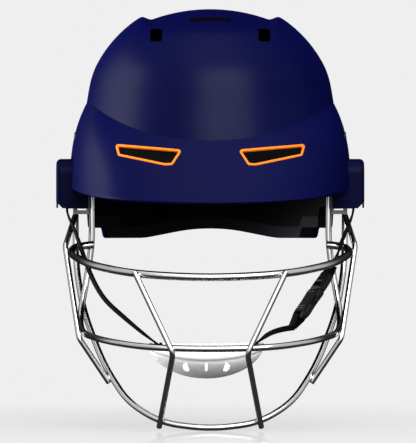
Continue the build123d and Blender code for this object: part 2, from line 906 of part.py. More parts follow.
def touch(diameter, other):
    """How far apart the axes of two welded bars are."""
    return (diameter + other) / 2 - weld_sink


def grille_places(shares):
    """Places of a bar, from shares of how far the grille reaches out, forward and down."""
    return [(x * grille_half_width, -y * grille_front_length, -z * grille_drop) for x, y, z in shares]


def leg_x():
    """How far out the legs of the middle bar are, welded to the brackets' tabs."""
    return bracket_tab_x - touch(middle_bar_diameter, 0)


@cache
def top_bar_path():
    """The path of the top bar, from behind one strap round the front to the other."""
    end_y = leg_y - touch(top_bar_diameter, middle_bar_diameter)
    end = (leg_x() - middle_bar_diameter / 3, end_y, top_bar_end_z)
    return bent_path(both_sides([end] + grille_places(top_bar_shares)))


@cache
def middle_bar_path():
    """The path of the middle bar, with a leg up to the bracket at each end."""
    legs = [(leg_x(), leg_y, bracket_tab_top_z), (leg_x(), leg_y, leg_foot_z)]
    return bent_path(both_sides(legs + grille_places(middle_bar_shares)))


@cache
def hoop_path():
    """The path of the lower hoop, from bracket to bracket under the chin."""
    end = (bracket_outer_x - bracket_plate / 2 - weld_sink, hoop_end_y, bracket_bottom_z)
    return bent_path(both_sides([end] + grille_places(hoop_shares)))


def level_with(path, forward_share):
    """A place on the +X half of a bar that is so far forward, and the bar's direction there."""
    low, high = 0.0, 0.5
    for _ in range(30):
        middle = (low + high) / 2
        if (path @ middle).Y > -forward_share * grille_front_length:
            low = middle
        else:
            high = middle
    return path @ low, path % low


def rod_welds(shares):
    """The places where a rod lies outside the top bar, the middle bar and the hoop."""
    bars = (
        (top_bar_path(), top_bar_diameter),
        (middle_bar_path(), middle_bar_diameter),
        (hoop_path(), hoop_diameter),
    )
    runs = [(*level_with(path, share), size) for (path, size), share in zip(bars, shares)]
    welds = []
    for (place, along, size), other in zip(runs, (runs[1], runs[0], runs[1])):
        out = along.cross(other[0] - place).normalized()
        if out.dot(Vector(place.X, place.Y, 0)) < 0:
            out = -out
        welds.append(place + out * touch(size, rod_diameter))
    return welds


def side_rod():
    """The rod on the +X side, bent over the top bar and under the middle bar."""
    top, middle, foot = rod_welds(side_rod_weld_shares)
    along = (middle - top).normalized()
    lower = middle + along * rod_bend_reach
    end = foot + (foot - lower).normalized() * rod_overhang
    start = Vector(
        bracket_outer_x - bracket_plate / 2, side_rod_end_y, bracket_bottom_z - rod_diameter / 3
    )
    upper = top - along * rod_bend_reach
    return bar(FilletPolyline(start, upper, lower, end, radius=rod_bend_radius), rod_diameter)


def front_rod():
    """The rod on the +X side of the front, bent under the middle bar."""
    top, middle, foot = rod_welds(front_rod_weld_shares)
    along = (middle - top).normalized()
    start = top - along * rod_diameter / 2
    lower = middle + along * rod_bend_reach
    end = foot + (foot - lower).normalized() * rod_overhang
    return bar(FilletPolyline(start, lower, end, radius=rod_bend_radius), rod_diameter)


def way_places(start, end, shares):
    """Places from start to end, from shares of the way across, forward and down."""
    way = end - start
    return [(start.X + x * way.X, start.Y + y * way.Y, start.Z + z * way.Z) for x, y, z, _ in shares]


def strip_sections(places, width, thickness, turns):
    """Slices of webbing at chosen places: turns are how far its width leans off the Y axis."""
    points = [Vector(*place) for place in places]
    path = Spline(*points)
    sections = []
    for point, turn in zip(points, turns):
        along = path % path.param_at_point(point)
        sections.append(strap_plane(point, along, turn) * Rectangle(width, thickness))
    return sections


def strap_plane(point, along, turn):
    """A plane across webbing, with its width on the local X axis and its run on local Z."""
    level = Vector(0, 1, 0)
    across = (level - along * level.dot(along)).normalized()
    across = across.rotate(Axis((0, 0, 0), along), turn)
    return Plane(origin=point, x_dir=across, z_dir=along)


def buckle_plane():
    """The buckle's own frame: X across it, Y through it and Z down the strap from its top."""
    top = Vector(buckle_top_x, buckle_top_y, buckle_top_z)
    along = (Vector(buckle_foot_x, buckle_foot_y, buckle_foot_z) - top).normalized()
    return strap_plane(top, along, buckle_turn)


def strap_loop(direction):
    """Webbing folded round a buckle's bar at the local origin and sewn beyond it."""
    inner = buckle_bar / math.sqrt(2) + strap_gap
    outer = inner + strap_thickness
    far = direction * strap_loop_length
    outline = make_hull([
        *Circle(outer).edges(),
        *(Pos(0, far) * Circle(strap_thickness)).edges(),
    ])
    hole = make_hull([
        *Circle(inner).edges(),
        *(Pos(0, far * strap_loop_share) * Circle(strap_gap)).edges(),
    ])
    return extrude(Plane.YZ * (outline - hole), amount=strap_width / 2, both=True)


def strap_end(place, along, turn):
    """The sewn, folded end of a strap that is kept by the cup's slot."""
    block = Box(strap_width, strap_stop_thickness, strap_stop_length)
    block = fillet(block.edges().filter_by(Axis.X), strap_stop_length / 3)
    return strap_plane(place, along, turn) * (Pos(0, 0, strap_stop_length / 2) * block)


def cup_frame(side):
    """The place and direction in which a strap runs through the cup's slot at one end."""
    across = cup_centre_x + side * cup_lug_reach
    end = Vector(across, cup_centre_y - cup_joint_lead, cup_top_z - cup_joint_drop)
    return end, Vector(-side * cup_entry_x_share, 0, -cup_entry_z_share).normalized()


def strap_start(side):
    """The first places of a strap, above and at its stud, and the stud's own place."""
    stud = Vector(side * strap_top_x, strap_stud_y, strap_stud_z)
    return [tuple(stud + Vector(0, 0, strap_lead_length)), tuple(stud)], stud


def strap_right():
    """The plain strap on the -X side, from its stud to the chin cup."""
    places, stud = strap_start(-1)
    end, along = cup_frame(-1)
    lead = end - along * strap_bend_run
    places = places + way_places(stud, lead, strap_right_shares) + [tuple(lead)]
    places.append(tuple(end - along * cup_lug_plate))
    stop = end + along * (cup_lug_plate / 2 + strap_stop_gap)
    places.append(tuple(stop + along * strap_stop_gap))
    turns = [0, 0] + [-turn for *_, turn in strap_right_shares] + [-strap_right_shares[-1][-1] / 2, 0, 0]
    strap = loft(strip_sections(places, strap_width, strap_thickness, turns))
    strap = strap + strap_end(stop, along, 0)
    reach = strap_top_x + overrun
    return strap - cross_hole(stud_radius + hole_gap, strap_stud_y, strap_stud_z, -reach, 0)


def strap_left_upper():
    """The strap on the +X side, from its stud to the buckle's plug."""
    plane = buckle_plane()
    loop = plane * (Pos(0, 0, buckle_bar / 2) * strap_loop(-1))
    places, stud = strap_start(1)
    start = (plane * Pos(0, 0, -strap_loop_length)).position
    places = places + way_places(stud, start, strap_left_shares) + [tuple(start)]
    turns = [0, 0] + [turn for *_, turn in strap_left_shares] + [buckle_turn]
    strap = loft(strip_sections(places, strap_width, strap_thickness, turns)) + loop
    reach = strap_top_x + overrun
    return strap - cross_hole(stud_radius + hole_gap, strap_stud_y, strap_stud_z, 0, reach)


def strap_left_lower():
    """The strap on the +X side, from the buckle's socket to the chin cup."""
    plane = buckle_plane()
    bar_place = Pos(0, 0, buckle_length - buckle_bar / 2)
    loop = plane * (bar_place * strap_loop(1))
    start = (plane * (bar_place * Pos(0, 0, strap_loop_length))).position
    end, along = cup_frame(1)
    places = [tuple(start), tuple(end - along * strap_bend_run), tuple(end - along * cup_lug_plate)]
    stop = end + along * (cup_lug_plate / 2 + strap_stop_gap)
    places.append(tuple(stop + along * strap_stop_gap))
    turns = (buckle_turn, buckle_turn / 2, 0, 0)
    strap = loft(strip_sections(places, strap_width, strap_thickness, turns))
    return strap + loop + strap_end(stop, along, 0)


def socket_shell():
    """The buckle's socket, in its own frame."""
    start = plug_body_length + soft_gap
    middle = start + socket_length / 2
    body = Pos(0, 0, middle) * Box(buckle_width, buckle_thickness, socket_length)
    far = body.faces().sort_by(Axis.Z)[-1]
    body = chamfer(far.edges().filter_by(Axis.X), buckle_thickness / 4)
    body = fillet(body.edges().filter_by(Axis.Z), buckle_edge_radius)
    hollow = Box(buckle_width - 2 * buckle_wall, buckle_thickness - 2 * buckle_wall, 2 * socket_hollow)
    body = body - Pos(0, 0, start) * hollow
    window = Box(2 * buckle_width, buckle_thickness - 2 * buckle_wall, window_length)
    body = body - Pos(0, 0, start + window_start + window_length / 2) * window
    slot_z = buckle_length - buckle_bar - buckle_slot / 2
    slot = Box(strap_width + 2 * strap_gap + soft_gap, 2 * buckle_thickness, buckle_slot)
    relief_length = buckle_slot + buckle_bar + overrun
    relief = Box(strap_width + 2 * strap_gap + soft_gap, buckle_thickness, relief_length)
    body = body - Pos(0, 0, slot_z) * slot
    lift = (buckle_bar + buckle_thickness) / 2
    relief_z = buckle_length - buckle_bar - buckle_slot + relief_length / 2
    for face in (-1, 1):
        body = body - Pos(0, face * lift, relief_z) * relief
    return body


def plug_shell():
    """The buckle's plug without its prongs, in its own frame."""
    body = Pos(0, 0, plug_body_length / 2) * Box(buckle_width, plug_body_thickness, plug_body_length)
    body = fillet(body.edges().filter_by(Axis.Y), buckle_edge_radius)
    slot = Box(strap_width + 2 * strap_gap + soft_gap, 2 * buckle_thickness, buckle_slot)
    for z in (buckle_bar + buckle_slot / 2, 2 * buckle_bar + 1.5 * buckle_slot):
        body = body - Pos(0, 0, z) * slot
    relief_length = buckle_bar + buckle_slot + overrun
    relief = Box(strap_width + 2 * strap_gap + soft_gap, buckle_thickness, relief_length)
    lift = (buckle_bar + buckle_thickness) / 2
    relief_z = buckle_bar + buckle_slot - relief_length / 2
    for face in (-1, 1):
        body = body - Pos(0, face * lift, relief_z) * relief
    tongue = Box(guide_width, prong_thickness, guide_length)
    return body + Pos(0, 0, plug_body_length + guide_length / 2) * tongue


def prong(side):
    """A springy arm of the plug with its hook, hinged at its root."""
    root_z = plug_body_length + prong_width / 2 + soft_gap
    inner = prong_reach - prong_width
    tip = plug_body_length + window_start + window_length
    hook_start = plug_body_length + soft_gap + window_start + soft_gap
    outline = Polyline(
        (inner, root_z),
        (inner, tip - prong_width),
        (inner + prong_width / 2, tip),
        (prong_reach, tip),
        (prong_reach + prong_hook, hook_start + prong_width),
        (prong_reach + prong_hook, hook_start),
        (prong_reach, hook_start),
        (prong_reach, root_z),
        close=True,
    )
    arm = make_face(outline) + Pos(prong_reach - prong_width / 2, root_z) * Circle(prong_width / 2)
    solid = extrude(Plane.XZ * arm, amount=prong_thickness / 2, both=True)
    if side < 0:
        solid = mirrored(solid)
    return solid


def strap_stud():
    """The rivet stud that carries the +X strap inside the ear guard."""
    head = strap_top_x - strap_thickness / 2 - soft_gap
    collar = strap_top_x + strap_thickness / 2 + soft_gap
    wall = guard_outer_x - guard_wall - seat_gap
    cap = guard_outer_x - stud_cap_depth
    stud = cross_hole(stud_head_radius, strap_stud_y, strap_stud_z, head - stud_head_thickness, head)
    stud = fillet(stud.edges().sort_by(Axis.X)[0], stud_head_thickness / 3)
    end = guard_outer_x - stud_cap_depth / 2
    stud = stud + cross_hole(stud_radius, strap_stud_y, strap_stud_z, head, end)
    stud = stud + cross_hole(stud_collar_radius, strap_stud_y, strap_stud_z, collar, wall)
    return stud + cross_hole(stud_cap_radius, strap_stud_y, strap_stud_z, cap, guard_outer_x)


@cache
def cup_ball(inset):
    """The round form of the chin cup, shrunk by inset, with a shorter rear half."""
    ball = Sphere(1)
    half = cup_half_width - inset
    front = scale(ball, by=(half, cup_front_length - inset, cup_depth - inset))
    rear = scale(ball, by=(half, cup_rear_length - inset, cup_depth - inset))
    keep = Box(4 * half, 4 * half, 4 * half)
    front = front & (Pos(0, -2 * half, 0) * keep)
    rear = rear & (Pos(0, 2 * half, 0) * keep)
    return Pos(cup_centre_x, cup_centre_y, cup_top_z) * (front + rear)


def chin_cup():
    """The moulded chin cup with air slots and a slotted lug at each end."""
    cup = cup_ball(0) - cup_ball(cup_wall)
    run = cup_front_length + cup_rear_length
    slant = Vector(0, run, cup_rear_edge_z - cup_front_edge_z)
    front = cup_centre_y - cup_front_length
    wide = 2 * cup_half_width
    foot = ThreePointArc((-wide, cup_edge_rise(wide)), (0, 0), (wide, cup_edge_rise(wide)))
    top = cup_edge_rise(wide) + cup_depth
    rest = Polyline((wide, cup_edge_rise(wide)), (wide, top), (-wide, top), (-wide, cup_edge_rise(wide)))
    plane = Plane(origin=(cup_centre_x, front, cup_front_edge_z), x_dir=(1, 0, 0), z_dir=(0, -1, 0))
    start = plane * make_face(foot + rest)
    cup = cup - extrude(start, amount=2 * slant.length, dir=slant, both=True)
    for i in (-1, 0, 1):
        slot = SlotOverall(cup_slot_height, cup_slot_width)
        slot = Plane.XZ * Pos(cup_centre_x + i * cup_slot_pitch, cup_slot_z) * Rot(0, 0, 90) * slot
        cup = cup - extrude(slot, amount=-cup_centre_y + cup_front_length + overrun)
    return cup + [cup_lug(side) for side in (-1, 1)]


def cup_edge_rise(x):
    """How far the cup's upper edge rises towards its ends, on one arc."""
    return cup_edge_radius - math.sqrt(cup_edge_radius**2 - x**2)


def cup_lug(side):
    """The slotted lug that a strap runs through at one end of the cup."""
    end, along = cup_frame(side)
    plane = strap_plane(end, along, 0)
    shift = side * cup_lug_root / 2
    plate = Pos(0, shift) * RectangleRounded(cup_lug_length, cup_lug_width + cup_lug_root, cup_lug_radius)
    slot = RectangleRounded(strap_width + cup_lug_gap, cup_lug_slot_height, cup_lug_radius / 2)
    return plane * extrude(plate - slot, amount=cup_lug_plate / 2, both=True) & cup_ball(0)


def save(name, shape):
    """Write one sub-part."""
    export_step(shape, f"parts/{name}.step")


def save_pair(name, shape):
    """Write a sub-part of the +X side, and the same one of the -X side."""
    save(f"{name}_left", shape)
    save(f"{name}_right", mirrored(shape))


def main():
    """Write every sub-part."""
    os.makedirs("parts", exist_ok=True)
    save("outer_shell", outer_shell())
    save("peak", peak())
    save("impact_liner", impact_liner())
    save("rear_rim_trim", rear_rim_trim())
    save("crown_pad", crown_pad())
    ends = (pad_groove_share, -pad_groove_share)
    save("front_pad", end_pad(front_pad_width, front_pad_height, front_pad_z, liner_front_length, -1, ends))
    save("rear_pad", end_pad(rear_pad_width, rear_pad_height, rear_pad_z, liner_rear_length, 1, ends))
    save_pair("peak_rivets", peak_rivets())
    save_pair("vent_frame", vent_frame(1))
    save_pair("vent_insert", vent_insert(1))
    save_pair("side_pad", side_pad())
    save_pair("ear_guard", ear_guard())
    save_pair("guard_screws", guard_screws())
    save_pair("guard_nuts", guard_nuts())
    save_pair("grille_spacers", grille_spacers())
    save_pair("strap_stud", strap_stud())
    for name, y in (("pivot", pivot_y), ("lock", pivot_y + lock_spacing)):
        save_pair(f"{name}_screw", grille_screw(y))
        save_pair(f"{name}_nut", grille_nut(y))
    save_pair("mount_bracket", mount_bracket())
    save("top_bar", bar(top_bar_path(), top_bar_diameter))
    save("middle_bar", bar(middle_bar_path(), middle_bar_diameter))
    save("lower_hoop", bar(hoop_path(), hoop_diameter))
    save_pair("side_rod", side_rod())
    save_pair("front_rod", front_rod())
    save("strap_right", strap_right())
    save("strap_left_upper", strap_left_upper())
    save("strap_left_lower", strap_left_lower())
    save("buckle_socket", buckle_plane() * socket_shell())
    save("buckle_plug", buckle_plane() * plug_shell())
    save("buckle_prong_front", buckle_plane() * prong(-1))
    save("buckle_prong_rear", buckle_plane() * prong(1))
    save("chin_cup", chin_cup())


main()
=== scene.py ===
import json
import math

import bmesh
import bpy
import numpy as np
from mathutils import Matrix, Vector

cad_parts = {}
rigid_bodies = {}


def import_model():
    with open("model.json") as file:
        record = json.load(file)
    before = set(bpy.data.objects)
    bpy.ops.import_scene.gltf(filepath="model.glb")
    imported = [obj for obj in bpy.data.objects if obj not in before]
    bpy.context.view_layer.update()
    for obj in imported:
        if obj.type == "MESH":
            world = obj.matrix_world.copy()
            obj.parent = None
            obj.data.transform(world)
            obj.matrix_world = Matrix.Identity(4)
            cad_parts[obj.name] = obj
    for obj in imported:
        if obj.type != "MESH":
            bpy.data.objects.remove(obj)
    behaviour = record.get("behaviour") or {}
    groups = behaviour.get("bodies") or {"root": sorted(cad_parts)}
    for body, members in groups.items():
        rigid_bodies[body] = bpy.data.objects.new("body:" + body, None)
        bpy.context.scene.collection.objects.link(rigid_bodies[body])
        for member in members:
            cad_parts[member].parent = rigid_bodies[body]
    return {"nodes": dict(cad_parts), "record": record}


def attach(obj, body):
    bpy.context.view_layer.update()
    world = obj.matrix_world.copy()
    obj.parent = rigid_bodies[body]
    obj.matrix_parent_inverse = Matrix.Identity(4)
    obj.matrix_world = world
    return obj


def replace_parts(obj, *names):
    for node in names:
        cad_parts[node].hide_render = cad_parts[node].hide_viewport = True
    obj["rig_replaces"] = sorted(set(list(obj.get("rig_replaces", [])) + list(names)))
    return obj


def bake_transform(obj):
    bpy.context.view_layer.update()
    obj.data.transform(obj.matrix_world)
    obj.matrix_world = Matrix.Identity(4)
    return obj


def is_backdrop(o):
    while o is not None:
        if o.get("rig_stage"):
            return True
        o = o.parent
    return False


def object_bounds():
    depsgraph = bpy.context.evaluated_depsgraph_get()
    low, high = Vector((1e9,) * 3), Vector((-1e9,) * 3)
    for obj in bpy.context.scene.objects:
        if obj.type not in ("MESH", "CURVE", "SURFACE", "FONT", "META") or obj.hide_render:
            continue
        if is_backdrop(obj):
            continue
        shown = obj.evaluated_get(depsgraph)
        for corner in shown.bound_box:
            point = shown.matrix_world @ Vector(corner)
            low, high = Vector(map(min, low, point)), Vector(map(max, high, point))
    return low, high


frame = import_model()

# A cricket helmet in metres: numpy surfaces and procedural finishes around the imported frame.
# +Z is up, -Y is the front and +X is the wearer's left. Sizes are written in millimetres.

packed_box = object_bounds()
mm = 0.001


# Shader arithmetic

class Value:
    """A node's output that Python's operators work on: each operation adds one Math node."""

    def __init__(self, finish, socket):
        self.finish = finish
        self.socket = socket

    def math(self, operation, *others):
        return self.finish.node("Math", [self, *others], operation=operation)

    def __add__(self, other):
        return self.math("ADD", other)

    def __sub__(self, other):
        return self.math("SUBTRACT", other)

    def __mul__(self, other):
        return self.math("MULTIPLY", other)

    def __truediv__(self, other):
        return self.math("DIVIDE", other)

    def __rsub__(self, other):
        return self.finish.node("Math", [other, self], operation="SUBTRACT")

    __radd__ = __add__
    __rmul__ = __mul__

    def sine(self):
        return self.math("SINE")

    def size(self):
        return self.math("ABSOLUTE")

    def over(self, low, high):
        """0 below low, 1 above high and a smooth step between them."""
        steps = {"Value": self, "From Min": low, "From Max": high}
        return self.finish.node("MapRange", steps, interpolation_type="SMOOTHSTEP")


class Finish:
    """One procedural material, or the world's sky."""

    def __init__(self, name, made=None):
        self.material = made or bpy.data.materials.new(name)
        self.material.use_nodes = True
        self.tree = self.material.node_tree
        self.tree.nodes.clear()

    def node(self, kind, inputs=(), output=0, stops=None, **settings):
        """Any shader node: its settings and a ramp's stops first, then its sockets."""
        made = self.tree.nodes.new("ShaderNode" + kind)
        for key, value in settings.items():
            setattr(made, key, value)
        if stops:
            ramp = made.color_ramp
            while len(ramp.elements) < len(stops):
                ramp.elements.new(1.0)
            for element, (place, colour) in zip(ramp.elements, stops):
                element.position = place
                element.color = (*colour, 1.0)
        pairs = inputs.items() if isinstance(inputs, dict) else enumerate(inputs)
        for key, value in pairs:
            if isinstance(value, Value):
                self.tree.links.new(value.socket, made.inputs[key])
            else:
                made.inputs[key].default_value = value
        return Value(self, made.outputs[output])

    def shades(self, factor, colour, low, high):
        """A colour that runs from low to high shares of itself, by a value from 0 to 1."""
        ends = [tuple(c * share for c in colour) for share in (low, high)]
        return self.between(factor, *ends)

    def place(self):
        """Object coordinates, which are the helmet's own metres."""
        return self.node("TexCoord", output="Object")

    def parts(self, vector):
        """A vector's X, Y and Z as three values."""
        first = self.node("SeparateXYZ", [vector])
        outputs = first.socket.node.outputs
        return [Value(self, outputs[i]) for i in range(3)]

    def noise(self, scale, detail=3.0, roughness=0.5, vector=None):
        """Soft noise from 0 to 1, scale times to the metre."""
        vector = vector or self.place()
        values = {"Vector": vector, "Scale": scale, "Detail": detail, "Roughness": roughness}
        return self.node("TexNoise", values)

    def between(self, factor, low, high):
        """A colour between two, by a value from 0 to 1."""
        made = self.tree.nodes.new("ShaderNodeMix")
        made.data_type = "RGBA"
        for key, value in ((0, factor), (6, low), (7, high)):
            if isinstance(value, Value):
                self.tree.links.new(value.socket, made.inputs[key])
            else:
                made.inputs[key].default_value = value if key == 0 else (*value, 1.0)
        return Value(self, made.outputs[2])

    def bump(self, height, depth, strength=1.0, normal=None):
        """A normal from a height of 0 to 1 that stands depth metres."""
        values = {"Height": height, "Distance": depth, "Strength": strength}
        if normal:
            values["Normal"] = normal
        return self.node("Bump", values)

    def principled(self, colour, roughness, normal=None, **sockets):
        """A Principled shader: other sockets are named with _ for each space."""
        values = {"Roughness": roughness}
        values["Base Color"] = colour if isinstance(colour, Value) else (*colour, 1.0)
        if normal:
            values["Normal"] = normal
        values.update({key.replace("_", " "): value for key, value in sockets.items()})
        return self.node("BsdfPrincipled", values)

    def surface(self, *values, **sockets):
        """A material that is one Principled shader."""
        return self.finish_with(self.principled(*values, **sockets))

    def finish_with(self, shader):
        """The material, ending in a shader."""
        kind = "World" if isinstance(self.material, bpy.types.World) else "Material"
        output = self.tree.nodes.new("ShaderNodeOutput" + kind)
        self.tree.links.new(shader.socket, output.inputs["Surface"])
        return self.material


def tone(red, green, blue):
    """A colour written as it looks on screen, 0 to 255, in the shader's linear values."""
    shown = np.array([red, green, blue]) / 255
    linear = np.where(shown > 0.04045, ((shown + 0.055) / 1.055) ** 2.4, shown / 12.92)
    return tuple(float(v) for v in linear)


# Finishes

knit_pitch, rib_pitch, pick_pitch, pin_hole_pitch = 0.0022, 0.0011, 0.0014, 0.0026


def satin_paint(name, colour, roughness, gloss):
    """Satin moulded shell: a deep matt colour with a slow drift under an even fine grain, and a
    small share of soft gloss that doesn't rise towards the outline."""
    finish = Finish(name)
    drift = finish.noise(9.0, detail=2.0)
    cloud = finish.noise(60.0, detail=3.0)
    rub = finish.noise(420.0, detail=4.0, roughness=0.65)
    pale = tuple(c * 1.12 + 0.0003 for c in colour)
    dark = tuple(c * 0.90 for c in colour)
    shade = finish.between(drift.over(0.3, 0.7), dark, pale)
    uneven = roughness + 0.06 * cloud - 0.03 + 0.05 * rub.over(0.62, 0.78)
    normal = finish.bump(finish.noise(2600.0, detail=2.0), 0.00003, strength=0.5)
    matt = finish.principled(shade, 0.7, normal, Specular_IOR_Level=0.0)
    tint = (0.12, 0.12, 0.12, 1.0)
    shine = finish.principled((0.5, 0.5, 0.52), uneven, normal, Metallic=1.0, Specular_Tint=tint)
    return finish.finish_with(finish.node("MixShader", [gloss, matt, shine]))


def hard_foam(name, colour):
    """Expanded foam: packed beads a few millimetres across, shallow seams between them."""
    finish = Finish(name)
    place = finish.place()
    bead = finish.node("TexVoronoi", {"Vector": place, "Scale": 330.0}, feature="F1")
    seam = bead.over(0.1, 0.8)
    fleck = finish.noise(900.0)
    shade = finish.shades(seam * 0.6 + fleck * 0.4, colour, 1.25, 0.6)
    normal = finish.bump(1 - seam, 0.00025, strength=0.6)
    return finish.surface(shade, 0.75 + 0.15 * fleck, normal, Specular_IOR_Level=0.06)


def moulded_plastic(name, colour, roughness, grain=1.0, drift=0.12, level=0.4):
    """Moulded plastic or rubber: fine leathery grain, slow colour drift and rubbed patches."""
    finish = Finish(name)
    slow = finish.noise(24.0, detail=2.0)
    fine = finish.noise(1500.0, detail=3.0, roughness=0.6)
    patch = finish.noise(180.0, detail=4.0, roughness=0.6)
    shade = finish.shades(slow, colour, 1 - drift, 1 + drift)
    rough = roughness + 0.10 * patch - 0.05
    normal = finish.bump(fine, 0.00006 * grain, strength=0.6)
    return finish.surface(shade, rough, normal, Specular_IOR_Level=level)


def polished_steel(name, colour, roughness, brush, edge):
    """Drawn and polished steel: fine uneven marks, slight cloudiness and a darker edge tone, an
    edge tint that dims the reflection at grazing angles as painted shade.
    """
    finish = Finish(name)
    cloud = finish.noise(90.0, detail=4.0, roughness=0.6)
    marks = finish.noise(1400.0, detail=2.0)
    shade = finish.shades(cloud, colour, 0.96, 1.03)
    rough = roughness + 0.05 * cloud + 0.03 * marks
    normal = finish.bump(marks, 0.000002 * brush, strength=0.3)
    return finish.surface(shade, rough, normal, Metallic=1.0, Specular_Tint=(*edge, 1.0))


def pad_fabric(name, colour):
    """Knitted mesh cloth: small open cells in offset rows, with a soft sheen."""
    finish = Finish(name)
    x, y, z = finish.parts(finish.place())
    pitch = 2 * math.pi / knit_pitch
    cells = (x * pitch).sine() * (y * pitch).sine() + (y * pitch).sine() * (z * pitch).sine()
    cells = cells + (z * pitch).sine() * (x * pitch).sine()
    hole = cells.over(0.1, 0.9)
    fuzz = finish.noise(2200.0)
    shade = finish.shades(hole, colour, 1.35, 0.45)
    normal = finish.bump(1 - hole * 0.8 + fuzz * 0.3, 0.0003, strength=0.7)
    return finish.surface(shade, 0.85 + 0.1 * fuzz, normal, Specular_IOR_Level=0.06)


def webbing(name, colour):
    """Woven strap on its own UV map, whose U runs across in metres and whose V runs along."""
    finish = Finish(name)
    uv = finish.node("UVMap", uv_map="UVMap")
    across, along, _ = finish.parts(uv)
    ribs = (across * (2 * math.pi / rib_pitch)).sine()
    picks = (along * (2 * math.pi / pick_pitch) + ribs.over(-0.2, 0.2) * math.pi).sine()
    yarn = (ribs * 0.5 + 0.5) * 0.5 + (picks * 0.5 + 0.5) * 0.5
    fuzz = finish.noise(2500.0)
    shade = finish.shades(yarn * 0.8 + fuzz * 0.2, colour, 0.55, 1.5)
    normal = finish.bump(yarn + fuzz * 0.15, 0.00025, strength=0.8)
    return finish.surface(shade, 0.72 + 0.12 * fuzz, normal, Specular_IOR_Level=0.03)


def vent_mesh(name, colour):
    """Dark moulded panel with a fine grid of pin holes."""
    finish = Finish(name)
    x, _, z = finish.parts(finish.place())
    pitch = 2 * math.pi / pin_hole_pitch
    holes = ((x * pitch).sine() * (z * pitch).sine()).size().over(0.45, 0.8)
    fine = finish.noise(1500.0)
    shade = finish.shades(holes, colour, 1.2, 0.3)
    normal = finish.bump(1 - holes, 0.0003, strength=0.6)
    return finish.surface(shade, 0.7 + 0.1 * fine, normal, Specular_IOR_Level=0.04)


navy = (0.0010, 0.0015, 0.031)
FINISHES = {
    "navy_shell": satin_paint("navy_shell", navy, 0.36, gloss=0.011),
    "navy_peak": satin_paint("navy_peak", navy, 0.36, gloss=0.011),
    # The ear guards take the shell's navy at 0.6 with less gloss: a shaded copy of the same paint,
    # painted shade for the shadow that the peak casts on them
    "navy_guard": satin_paint("navy_guard", tuple(c * 0.6 for c in navy), 0.42, gloss=0.006),
    # Black foam, darkened further to near black: painted shade for the dark recess inside the
    # shell
    "liner_foam": hard_foam("liner_foam", tone(7, 7, 8)),
    "rim_trim": moulded_plastic("rim_trim", tone(31, 31, 39), 0.62, grain=1.5, level=0.04),
    # Black cloth, darkened further to near black: painted shade for the dark recess inside the
    # shell
    "pad_cloth": pad_fabric("pad_cloth", tone(9, 9, 10)),
    "black_fixing": moulded_plastic("black_fixing", tone(22, 22, 24), 0.45),
    "orange_trim": moulded_plastic("orange_trim", tone(240, 122, 20), 0.5, drift=0.05, level=0.15),
    "vent_black": vent_mesh("vent_black", tone(2, 2, 3)),
    "steel_fixing": polished_steel(
        "steel_fixing", (0.42, 0.42, 0.43), 0.28, brush=1.0, edge=(0.5, 0.5, 0.52)
    ),
    "bracket_steel": polished_steel(
        "bracket_steel", (0.20, 0.20, 0.21), 0.36, brush=2.0, edge=(0.4, 0.4, 0.42)
    ),
    # The bars' edge tint is near black: painted dark reflections along their edges
    "steel_bar": polished_steel(
        "steel_bar", (0.84, 0.84, 0.87), 0.11, brush=1.0, edge=(0.03, 0.03, 0.04)
    ),
    "strap_webbing": webbing("strap_webbing", tone(9, 9, 10)),
    "buckle_black": moulded_plastic("buckle_black", tone(17, 17, 20), 0.5, grain=1.3, level=0.12),
    "cup_white": moulded_plastic("cup_white", (0.96, 0.96, 0.97), 0.45, drift=0.015),
}


# Mesh making

def dressed(piece, body, slot, *nodes):
    """Gives a piece the finish of its slot, the CAD nodes that it stands for, and its body when
    one is given."""
    piece.data.materials.clear()
    piece.data.materials.append(FINISHES[slot])
    if body:
        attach(piece, body)
    if nodes:
        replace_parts(piece, *nodes)
    return piece


def body_of(node):
    """The name of the body that a CAD node rides on."""
    for body, members in frame["record"]["behaviour"]["bodies"].items():
        if node in members:
            return body
    raise ValueError(node)


def slot_of(node):
    """The name of the record's material slot that a CAD node has."""
    for part in frame["record"]["subparts"]:
        if part["node"] == node:
            return part["material_slot"]
    raise ValueError(node)


def placed(name, mesh):
    """A new object at the origin that holds a mesh."""
    piece = bpy.data.objects.new(name, mesh)
    bpy.context.scene.collection.objects.link(piece)
    return piece


def applied(piece):
    """Gives a piece the mesh that its modifiers make, and removes them."""
    graph = bpy.context.evaluated_depsgraph_get()
    mesh = bpy.data.meshes.new_from_object(piece.evaluated_get(graph))
    piece.modifiers.clear()
    piece.data = mesh
    return mesh


def read(items, key):
    """A collection's vectors, such as its points' places, in rows of three."""
    values = np.empty(len(items) * 3)
    items.foreach_get(key, values)
    return values.reshape(-1, 3)


def smoothed(mesh, angle=32.0):
    """Smooth shading that breaks at edges sharper than an angle in degrees."""
    mesh.shade_smooth()
    mesh.set_sharp_from_angle(angle=math.radians(angle))


def finished_copy(node, bevel):
    """A CAD node's merged copy, with smooth faces and softened edges, that stands for it."""
    mesh = frame["nodes"][node].data.copy()
    piece = placed(node + "_finished", mesh)
    work = bmesh.new()
    work.from_mesh(mesh)
    bmesh.ops.remove_doubles(work, verts=work.verts, dist=1e-6)
    bmesh.ops.dissolve_degenerate(work, edges=work.edges, dist=1e-7)
    work.to_mesh(mesh)
    work.free()
    smoothed(mesh)
    softened = piece.modifiers.new("softened", "BEVEL")
    softened.width, softened.segments = bevel * mm, 2
    softened.limit_method, softened.angle_limit = "ANGLE", math.radians(40)
    softened.harden_normals = True
    return dressed(piece, body_of(node), slot_of(node), node)


